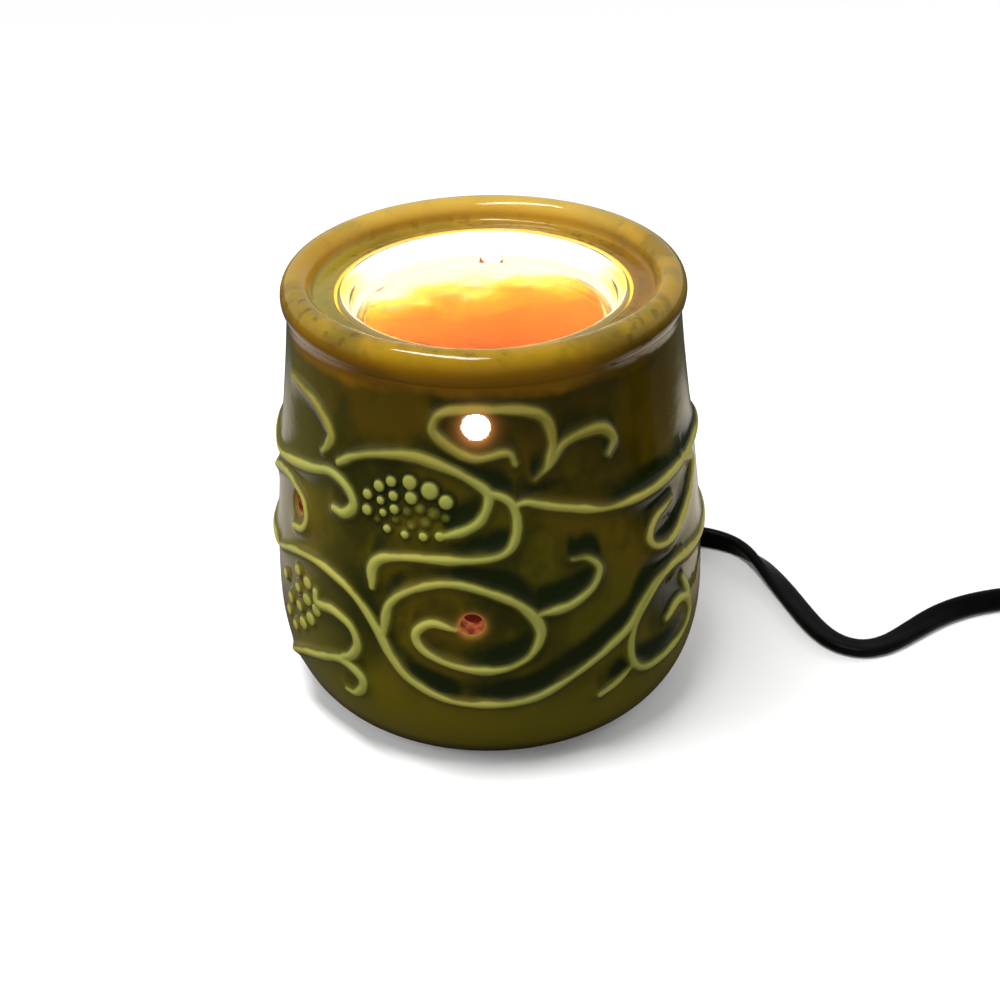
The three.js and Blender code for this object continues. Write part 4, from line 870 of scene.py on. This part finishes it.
def outer_wall():
    spread = BELLY_RADIUS - FOOT_RADIUS
    rise = BELLY_Z - FOOT_Z
    foot_pull = (FOOT_RADIUS + FOOT_PULL[0] * spread, FOOT_Z + FOOT_PULL[1] * rise)
    belly_pull = (BELLY_RADIUS, BELLY_Z - BELLY_PULL_DOWN * rise)
    lower = bezier((FOOT_RADIUS, FOOT_Z), foot_pull, belly_pull, (BELLY_RADIUS, BELLY_Z), LOWER_STEPS)
    taper = BELLY_RADIUS - NECK_RADIUS
    height = NECK_Z - BELLY_Z
    belly_pull = (BELLY_RADIUS, BELLY_Z + BELLY_PULL_UP * height)
    neck_pull = (NECK_RADIUS + NECK_PULL[0] * taper, NECK_Z - NECK_PULL[1] * height)
    upper = bezier((BELLY_RADIUS, BELLY_Z), belly_pull, neck_pull, (NECK_RADIUS, NECK_Z), UPPER_STEPS)
    return even_spacing(np.vstack([lower, upper[1:]]), WALL_STEP)


def rim_bead():
    angle = np.radians(np.arange(*BEAD_ANGLES))
    radius = RIM_OUTER_RADIUS - RIM_WIDTH / 2 + RIM_WIDTH / 2 * np.cos(angle)
    return np.stack([radius, BODY_TOP - RIM_HEIGHT / 2 + RIM_HEIGHT / 2 * np.sin(angle)], axis=-1)


def ledge_and_seat():
    under = LEDGE_Z - LEDGE_THICKNESS
    corners = [(RIM_OUTER_RADIUS - RIM_WIDTH, LEDGE_Z), (LEDGE_HOLLOW_RADIUS, LEDGE_Z - LEDGE_HOLLOW),
               (MOUTH_RADIUS + 0.9, LEDGE_Z), (MOUTH_RADIUS + 0.3, LEDGE_Z - 0.2),
               (MOUTH_RADIUS, LEDGE_Z - 0.7), (MOUTH_RADIUS, SEAT_Z), (THROAT_RADIUS, SEAT_Z),
               (THROAT_RADIUS, under)]
    return even_spacing(np.array(corners), LEDGE_STEP)


def inside_wall(wall):
    under = LEDGE_Z - LEDGE_THICKNESS
    bottom = FLOOR_Z + FLOOR_CORNER
    neck = NECK_RADIUS - WALL
    shoulder = [(neck - 2, under), (neck - 0.5, under - 0.5), (neck, under - 2)]
    inner = np.array([(r - WALL, z) for r, z in wall if bottom < z < under - 3])[::-INSIDE_ROWS]
    angle = np.radians([0, 15, 30, 45, 60, 75, 90])
    radius = inner[-1, 0] - FLOOR_CORNER * (1 - np.cos(angle))
    turn = np.stack([radius, bottom - FLOOR_CORNER * np.sin(angle)], axis=-1)
    return np.vstack([shoulder, inner, turn])


def underside():
    recess = FOOT_RADIUS - FOOT_RING_WIDTH
    return np.array([(NIPPLE_HOLE, FLOOR_Z), (NIPPLE_HOLE, FLOOR_UNDER_Z), (recess - 1, FLOOR_UNDER_Z),
                     (recess, FLOOR_UNDER_Z - 1), (recess, FOOT_Z + 0.4), (recess + 0.4, FOOT_Z),
                     (FOOT_RADIUS - 0.8, FOOT_Z)])


def vine_lines():
    """The vine's lines on the unrolled wall as evenly spaced dots, with their fullness from tip to tip."""
    lines = []
    for stops in VINE.values():
        flat = [(math.radians(azimuth) * RELIEF_RADIUS, height) for azimuth, height in stops]
        line = even_spacing(smooth_line(flat, VINE_STEPS), DOT_STEP)
        along = DOT_STEP * np.arange(len(line))
        from_end = np.minimum(along, along[::-1])
        full = TIP_SHARE + (1 - TIP_SHARE) * smoothstep(from_end, 0, TAPER_LENGTH)
        lines.append((line, full * (1 + VINE_UNEVEN * np.sin(along / VINE_WAVE + line[0, 1]))))
    return lines


def nearest_dots(line, full, along, height):
    """Distance of each point to a line of dots, and the fullness of the dot that is nearest."""
    tree = KDTree(len(line))
    for index, (u, v) in enumerate(line.tolist()):
        tree.insert((u, v, 0), index)
    tree.balance()
    found = [tree.find((u, v, 0))[1:] for u, v in zip(along.tolist(), height.tolist())]
    return np.array([distance for _, distance in found]), full[[index for index, _ in found]]


def vine_relief(along, height):
    """How far the vine stands out on a grid of the unrolled wall, and how near its closest line is."""
    out = np.zeros_like(along)
    near = np.full_like(along, VINE_REACH)
    for line, full in vine_lines():
        for turn in (-1, 0, 1):
            copy = line + np.array([turn * math.pi * RELIEF_RADIUS, 0])
            low = copy.min(axis=0) - VINE_REACH
            high = copy.max(axis=0) + VINE_REACH
            inside = (along > low[0]) & (along < high[0]) & (height > low[1]) & (height < high[1])
            if not inside.any():
                continue
            distance, share = nearest_dots(copy, full, along[inside], height[inside])
            crest = (1 - SHOULDER_SHARE) * np.exp(-(distance / (VINE_CREST * share)) ** 2)
            shoulder = SHOULDER_SHARE * np.exp(-(distance / VINE_SHOULDER) ** 2)
            out[inside] = np.maximum(out[inside], VINE_HEIGHT * np.minimum(share, 1) * (crest + shoulder))
            near[inside] = np.minimum(near[inside], distance)
    return out, near


def flat_distance(along, height, azimuth, level):
    """Distance on the unrolled wall to a point and to its copy half a turn away."""
    away = along - math.radians(azimuth) * RELIEF_RADIUS
    half = math.pi * RELIEF_RADIUS
    away = (away + half / 2) % half - half / 2
    return np.hypot(away, height - level)


def seed_relief(along, height):
    """How full the seeds stand on the wall, and how close round them a point lies."""
    full = np.zeros_like(along)
    nest = np.zeros_like(along)
    for seeds, share in ((SEEDS, 1.0), (SUNK_SEEDS, SUNK_SHARE)):
        for azimuth, level, radius in seeds:
            away = flat_distance(along, height, azimuth, level)
            edge = radius * SEED_SPREAD
            full = np.maximum(full, share * (1 - np.clip(away / edge, 0, 1) ** 3) ** 0.7)
            nest = np.maximum(nest, np.exp(-np.clip(away - edge, 0, None) / NEST_REACH))
    return full, nest


def hole_relief(along, height):
    """How deep the wall dips round the light holes, and how their light glows on the glaze."""
    dip = np.zeros_like(along)
    ember = np.zeros_like(along)
    for (azimuth, level, radius), (strength, reach) in zip(LIGHT_HOLES, HOLE_HALOS):
        gap = flat_distance(along, height, azimuth, level) - radius
        dip += HOLE_DIP * (1 - np.clip(gap / HOLE_DIP_WIDTH, 0, 1)) ** 2
        ember = np.maximum(ember, strength * np.exp(-np.clip(gap, 0, None) / reach))
    return dip, ember


def relief(heights):
    """The wall over half a turn: how far it stands out, and where its glaze is worn, thick or aglow."""
    columns = POT_COLUMNS // 2
    azimuth = -math.pi / 2 + math.pi * np.arange(columns) / columns
    along, height = np.meshgrid(azimuth * RELIEF_RADIUS, heights)
    vine, near = vine_relief(along, height)
    seed, nest = seed_relief(along, height)
    dip, ember = hole_relief(along, height)
    worn = np.maximum(vine / VINE_HEIGHT, seed)
    fade = np.clip(np.minimum(height - FOOT_Z, NECK_Z - height) / RELIEF_FADE, 0, 1)
    out = (np.maximum(vine, SEED_HEIGHT * seed) - dip) * fade
    return out, worn, gathered(worn, near, nest), ember


def gathered(worn, near, nest):
    """Where the glaze lies thick: round the seeds, beside the vine, and further up above each ridge."""
    beside = np.exp(-np.clip(near - POOL_START, 0, None) / POOL_FADE)
    thick = np.maximum(POOL_BY_VINE * beside, POOL_BY_SEEDS * nest)
    ridge = np.exp(-(near / VINE_CREST) ** 2)
    rows = round(RUN_LENGTH / WALL_STEP)
    for up in range(1, rows):
        thick[up:] = np.maximum(thick[up:], ridge[:-up] * (1 - (up / rows) ** 2))
    return np.minimum(POOL_GAIN * thick * (1 - worn), 1)


def turn_about(form, corners, axis, angle):
    bmesh.ops.rotate(form, verts=corners, matrix=Quaternion(axis, angle).to_matrix())


def bores():
    """The light holes and their copies at the back: direction, height, radius and glow."""
    for (azimuth, height, radius), glow in zip(LIGHT_HOLES, BORE_GLOW):
        yield math.radians(azimuth), height, radius, glow
        yield math.radians(azimuth + 180), height, radius, BACK_BORE_GLOW


def add_hole_rod(form, angle, height, radius):
    middle = Vector((math.sin(angle), -math.cos(angle), 0)) * ((HOLE_INSIDE + HOLE_OUTSIDE) / 2)
    middle.z = height
    rod = bmesh.ops.create_cone(form, segments=HOLE_SIDES, radius1=radius * MM, radius2=radius * MM,
                                depth=(HOLE_OUTSIDE - HOLE_INSIDE) * MM, cap_ends=True)["verts"]
    turn_about(form, rod, (1, 0, 0), math.pi / 2)
    turn_about(form, rod, (0, 0, 1), angle)
    bmesh.ops.translate(form, verts=rod, vec=middle * MM)


def hole_cutters():
    """One mesh of rods through the light holes and a bar through the cord's notch."""
    form = bmesh.new()
    for angle, height, radius, _ in bores():
        add_hole_rod(form, angle, height, radius)
    bar = bmesh.ops.create_cube(form, size=1.0)["verts"]
    bmesh.ops.scale(form, verts=bar, vec=Vector(NOTCH_SIZE) * MM)
    bmesh.ops.translate(form, verts=bar, vec=Vector(NOTCH_MIDDLE) * MM)
    turn_about(form, bar, (0, 0, 1), math.radians(CORD_AZIMUTH - 90))
    mesh = bpy.data.meshes.new("pot_cutters")
    form.to_mesh(mesh)
    form.free()
    return add_object("pot_cutters", mesh)


def cut_away(piece, cutters):
    step = piece.modifiers.new("cut", "BOOLEAN")
    step.operation = "DIFFERENCE"
    step.solver = "MANIFOLD"
    step.object = cutters
    bpy.context.view_layer.update()
    evaluated = piece.evaluated_get(bpy.context.evaluated_depsgraph_get())
    mesh = bpy.data.meshes.new_from_object(evaluated)
    piece.modifiers.clear()
    piece.data = mesh
    bpy.data.objects.remove(cutters)


def line_bores(pot):
    """Gives the light holes' walls the inside's clay, darkened there as painted shade, with the glow of the
    lamp behind them painted on.
    """
    corners = read_floats(pot.data.vertices, "co", 3) / MM
    middles = read_floats(pot.data.polygons, "center", 3) / MM
    slots = read_floats(pot.data.polygons, "material_index", 1)[:, 0].astype(np.int32)
    bore = np.zeros(len(corners))
    ember = read_floats(pot.data.attributes["ember"].data, "value", 1)[:, 0]
    for angle, height, radius, glow in bores():
        axis = np.array([math.sin(angle), -math.cos(angle), 0])
        slots[within_rod(middles, axis, height, radius)] = 1
        lined = within_rod(corners, axis, height, radius)
        bore[lined] = 1
        ember[lined] = glow
    pot.data.polygons.foreach_set("material_index", slots)
    pot.data.attributes["ember"].data.foreach_set("value", ember)
    pot.data.attributes.new("bore", "FLOAT", "POINT").data.foreach_set("value", bore)


def read_floats(items, name, width):
    values = np.empty(len(items) * width, np.float32)
    items.foreach_get(name, values)
    return values.reshape(-1, width)


def within_rod(points, axis, height, radius):
    """Which points lie within a level rod from the pot's axis outwards."""
    away = points - [0, 0, height]
    along = away @ axis
    off = np.linalg.norm(away - along[:, None] * axis, axis=1)
    return (along > 0) & (off < radius * BORE_MARGIN)


def pot_points(wall, out, rest):
    """Rows of points round the pot: the wall with what stands out on it, then the plain rest."""
    slope = unit(np.gradient(wall, axis=0))
    radius = np.vstack([wall[:, :1] + out * slope[:, 1:], np.repeat(rest[:, :1], POT_COLUMNS, axis=1)])
    height = np.vstack([wall[:, 1:] - out * slope[:, :1], np.repeat(rest[:, 1:], POT_COLUMNS, axis=1)])
    azimuth = -math.pi / 2 + 2 * math.pi * np.arange(POT_COLUMNS) / POT_COLUMNS
    return points_round(radius, height, azimuth)


def mark_rows(pot, name, rows, first, marks):
    """Keeps marks on the pot's rows from the first one on, and nought on its other rows."""
    values = np.zeros((rows, POT_COLUMNS))
    values[first:first + len(marks)] = marks
    pot.data.attributes.new(name, "FLOAT", "POINT").data.foreach_set("value", values.ravel())


def make_pot(materials):
    wall = outer_wall()
    out, worn, thick, glow = (np.tile(layer, (1, 2)) for layer in relief(wall[:, 1]))
    bead = rim_bead()
    seat = ledge_and_seat()
    rest = np.vstack([bead, seat, inside_wall(wall), underside()])
    rows = len(wall) + len(rest)
    pot = mesh_piece("pot_glazed", pot_points(wall, out, rest), ring_faces(rows, POT_COLUMNS, True))
    pot.data.materials.append(materials["glazed_ceramic"])
    pot.data.materials.append(materials["bisque"])
    ledge_start = len(wall) + len(bead)
    inner_start = ledge_start + int(np.argmax(seat[:, 1] < LEDGE_Z - 0.5))
    clay = np.repeat((np.arange(rows) >= inner_start - 1).astype(np.int32), POT_COLUMNS)
    pot.data.polygons.foreach_set("material_index", clay)

    mark_rows(pot, "raised", rows, 0, worn)
    mark_rows(pot, "pool", rows, 0, thick)
    mark_rows(pot, "ledge", rows, ledge_start, np.ones((inner_start - ledge_start, POT_COLUMNS)))
    mark_rows(pot, "ember", rows, 0, glow)
    cut_away(pot, hole_cutters())
    line_bores(pot)
    finish_piece(materials, pot, "warmer", "glazed_ceramic", "ceramic_body")


# Dish, oil and lamp

def bowl_inside(shrink):
    wall = THROAT_RADIUS - SEAT_GAP - GLASS - shrink
    floor = DISH_UNDER_Z + GLASS + shrink
    side = bezier((wall, SEAT_Z), (wall - 0.8, SEAT_Z - 6), (DISH_FLOOR_RADIUS + 4 - shrink, floor),
                  (DISH_FLOOR_RADIUS - 3 - shrink, floor), BOWL_STEPS)
    return np.vstack([side, [(0, floor)]])


def make_dish(materials):
    flange = MOUTH_RADIUS - SEAT_GAP
    lip = [(flange, SEAT_Z), (flange, LEDGE_Z - 0.8), (flange - 0.25, LEDGE_Z - 0.25),
           (flange - 0.8, LEDGE_Z), (THROAT_RADIUS + 0.2, LEDGE_Z), (THROAT_RADIUS - 0.5, LEDGE_Z - 0.2),
           (THROAT_RADIUS - 0.9, LEDGE_Z - 0.7)]
    profile = np.vstack([bowl_inside(-GLASS)[::-1], lip, bowl_inside(0)])
    dish = turned("oil_dish", profile, DISH_COLUMNS)
    finish_piece(materials, dish, "dish", "clear_glass", "glass_dish")

    level = DISH_UNDER_Z + GLASS + OIL_DEPTH
    bowl = bowl_inside(SEAT_GAP)[::-1]
    edge = np.interp(level, bowl[1:, 1], bowl[1:, 0])
    bed = bowl[bowl[:, 1] < level]
    face = [(edge, level), (edge - OIL_EDGE, level - OIL_CREEP), (0, level - OIL_CREEP)]
    oil = turned("oil_pool", np.vstack([bed, face]), DISH_COLUMNS)
    finish_piece(materials, oil, "dish", "amber_oil", "scented_oil")


def make_lamp(materials):
    angle = np.radians(np.linspace(GLOBE_START, 90, GLOBE_STEPS))
    globe = np.stack([BULB_RADIUS * np.cos(angle), GLOBE_Z + BULB_RADIUS * np.sin(angle)], axis=-1)
    globe[-1, 0] = 0
    neck = [(BULB_NECK_RADIUS, BULB_NECK_Z), (BULB_NECK_RADIUS, CAP_TOP_Z),
            (BULB_NECK_RADIUS + 0.15, CAP_TOP_Z + 1.5)]
    share = (BULB_RADIUS - BULB_GLASS) / BULB_RADIUS
    inside = globe * [share, 1] + (globe - [0, GLOBE_Z]) * [0, share - 1]
    inner_neck = [(r - BULB_GLASS, z) for r, z in neck]
    outline = np.vstack([neck, globe, inside[::-1], inner_neck[::-1]])
    lamp = turned("lamp_envelope", outline, LAMP_COLUMNS)
    weld(lamp)
    finish_piece(materials, lamp, "bulb", "lamp_glass", "bulb_glass")


# Small solids, softened

def soften(node, source):
    """A copy of a solid with its hard edges eased and its facets shaded round."""
    piece = add_object(node + "_soft", source.data.copy())
    weld(piece, SOLID_WELD)
    shade_round(piece.data)
    piece.data.materials.clear()
    edge = piece.modifiers.new("edge", "BEVEL")
    edge.width = SOFT_EDGE.get(node, USUAL_EDGE) * MM
    edge.segments = EDGE_SEGMENTS
    edge.limit_method = "ANGLE"
    edge.angle_limit = math.radians(EDGE_ANGLE)
    edge.harden_normals = True
    return piece


def make_small_pieces(frame, materials):
    slots = {part["node"]: part["material_slot"] for part in frame["record"]["subparts"]}
    small = {}
    for body, nodes in frame["record"]["behaviour"]["bodies"].items():
        for node in nodes:
            if node not in REPLACED:
                small[node] = soften(node, frame["nodes"][node])
                finish_piece(materials, small[node], body, slots[node], node)
    return small


# Floor and light

def seen_share(nodes, path):
    """One for rays from the eye, straight or through glass, and nought for light that bounces."""
    return nodes.plus(path["Is Camera Ray"], path["Is Transmission Ray"], held=True)


def card_share(nodes, place):
    """Each card's share on the two soft-edged cards that lie beside the pot, and nought elsewhere."""
    share = 0.0
    for middle, strength in CARDS:
        offset = nodes.add("VectorMath", {0: place, 1: middle}, operation="SUBTRACT").outputs[0]
        scaled = nodes.add("VectorMath", {0: offset, 1: CARD_SIZE}, operation="DIVIDE").outputs[0]
        reach = nodes.add("VectorMath", {0: scaled}, operation="LENGTH").outputs["Value"]
        share = nodes.plus(share, nodes.spread(reach, *CARD_EDGE, strength, 0.0), held=True)
    return share


def floor_material():
    """To the eye pale, and white further off; to bounced light a dim table with two warm cards on it."""
    material = bpy.data.materials.new("pale_floor")
    material.use_nodes = True
    nodes = Nodes(material.node_tree)
    nodes.tree.nodes.clear()
    path = nodes.add("LightPath").outputs
    place = nodes.add("TexCoord").outputs["Object"]
    seen = seen_share(nodes, path)
    card = card_share(nodes, place)
    bounced = nodes.spread(card, 0.0, 1.0, *FLOOR_BOUNCE)
    tint = nodes.blend(seen, bounced, FLOOR_PALE)
    diffuse = nodes.add("BsdfDiffuse", {"Color": tint}).outputs[0]
    away = nodes.add("VectorMath", {0: place}, operation="LENGTH").outputs["Value"]
    white = nodes.times(seen, nodes.spread(away, *FLOOR_WHITE, *FLOOR_GLOW))
    mirrored = nodes.times(path["Is Glossy Ray"], nodes.times(card, CARD_GLOW))
    glow = nodes.add("Emission", {"Color": nodes.mix(seen, CARD_COLOUR, WHITE)}).outputs[0]
    glow_share = nodes.plus(white, mirrored, held=True)
    both = nodes.add("MixShader", {0: glow_share, 1: diffuse, 2: glow}).outputs[0]
    nodes.add("OutputMaterial", {"Surface": both})
    return material


def make_floor():
    bpy.ops.mesh.primitive_plane_add(size=FLOOR_SIZE)
    floor = bpy.context.object
    floor.name = "floor"
    floor.data.materials.append(floor_material())


def make_world():
    """White all round to the eye and through glass; as light, brighter behind the pot than in front."""
    world = bpy.data.worlds.new("studio")
    bpy.context.scene.world = world
    world.use_nodes = True
    nodes = Nodes(world.node_tree)
    background = nodes.tree.nodes["Background"].inputs
    direction = nodes.add("TexCoord").outputs["Generated"]
    back = nodes.add("SeparateXYZ", {0: direction}).outputs["Y"]
    studio = nodes.spread(back, *STUDIO_TURN, *STUDIO_LEVEL)
    seen = seen_share(nodes, nodes.add("LightPath").outputs)
    nodes.put(background["Color"], colour(WHITE))
    nodes.put(background["Strength"], nodes.blend(seen, studio, 1.0))


def make_soft_box(name, place, size, power, mirrored):
    """A soft box that looks at the pot; one that isn't mirrored leaves no highlight on the glaze."""
    light = bpy.data.lights.new(name, "AREA")
    light.shape = "RECTANGLE"
    light.size, light.size_y = size
    light.energy = power
    box = add_object(name, light)
    box.location = place
    box.rotation_euler = (Vector(LIGHT_TARGET) - Vector(place)).to_track_quat("-Z", "Y").to_euler()
    box.visible_glossy = mirrored


def make_mouth_glow():
    """Warm light that spills from the lit mouth over the ledge and the rim."""
    light = bpy.data.lights.new("mouth_glow", "POINT")
    light.color = MOUTH_GLOW_COLOUR
    light.energy = MOUTH_GLOW_POWER
    light.shadow_soft_size = MOUTH_GLOW_SIZE
    glow = add_object("mouth_glow", light)
    glow.location = MOUTH_GLOW_PLACE
    glow.visible_camera = False
    glow.visible_transmission = False
    glow.visible_glossy = False


def make_light():
    make_world()
    for name, (place, size, power, mirrored) in SOFT_BOXES.items():
        make_soft_box(name, place, size, power, mirrored)
    make_mouth_glow()


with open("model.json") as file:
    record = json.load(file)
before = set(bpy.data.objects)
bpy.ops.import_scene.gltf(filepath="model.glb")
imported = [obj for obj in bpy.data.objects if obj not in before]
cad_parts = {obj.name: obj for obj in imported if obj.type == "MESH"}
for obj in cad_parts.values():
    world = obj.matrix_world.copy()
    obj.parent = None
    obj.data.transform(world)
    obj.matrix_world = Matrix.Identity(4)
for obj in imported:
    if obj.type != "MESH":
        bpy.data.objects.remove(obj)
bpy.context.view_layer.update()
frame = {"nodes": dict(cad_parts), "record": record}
bpy.context.scene.view_settings.view_transform = "Standard"
make_camera()
paints = make_materials()
small_pieces = make_small_pieces(frame, paints)
make_cords(paints)
make_pot(paints)
make_dish(paints)
make_lamp(paints)
make_floor()
make_light()
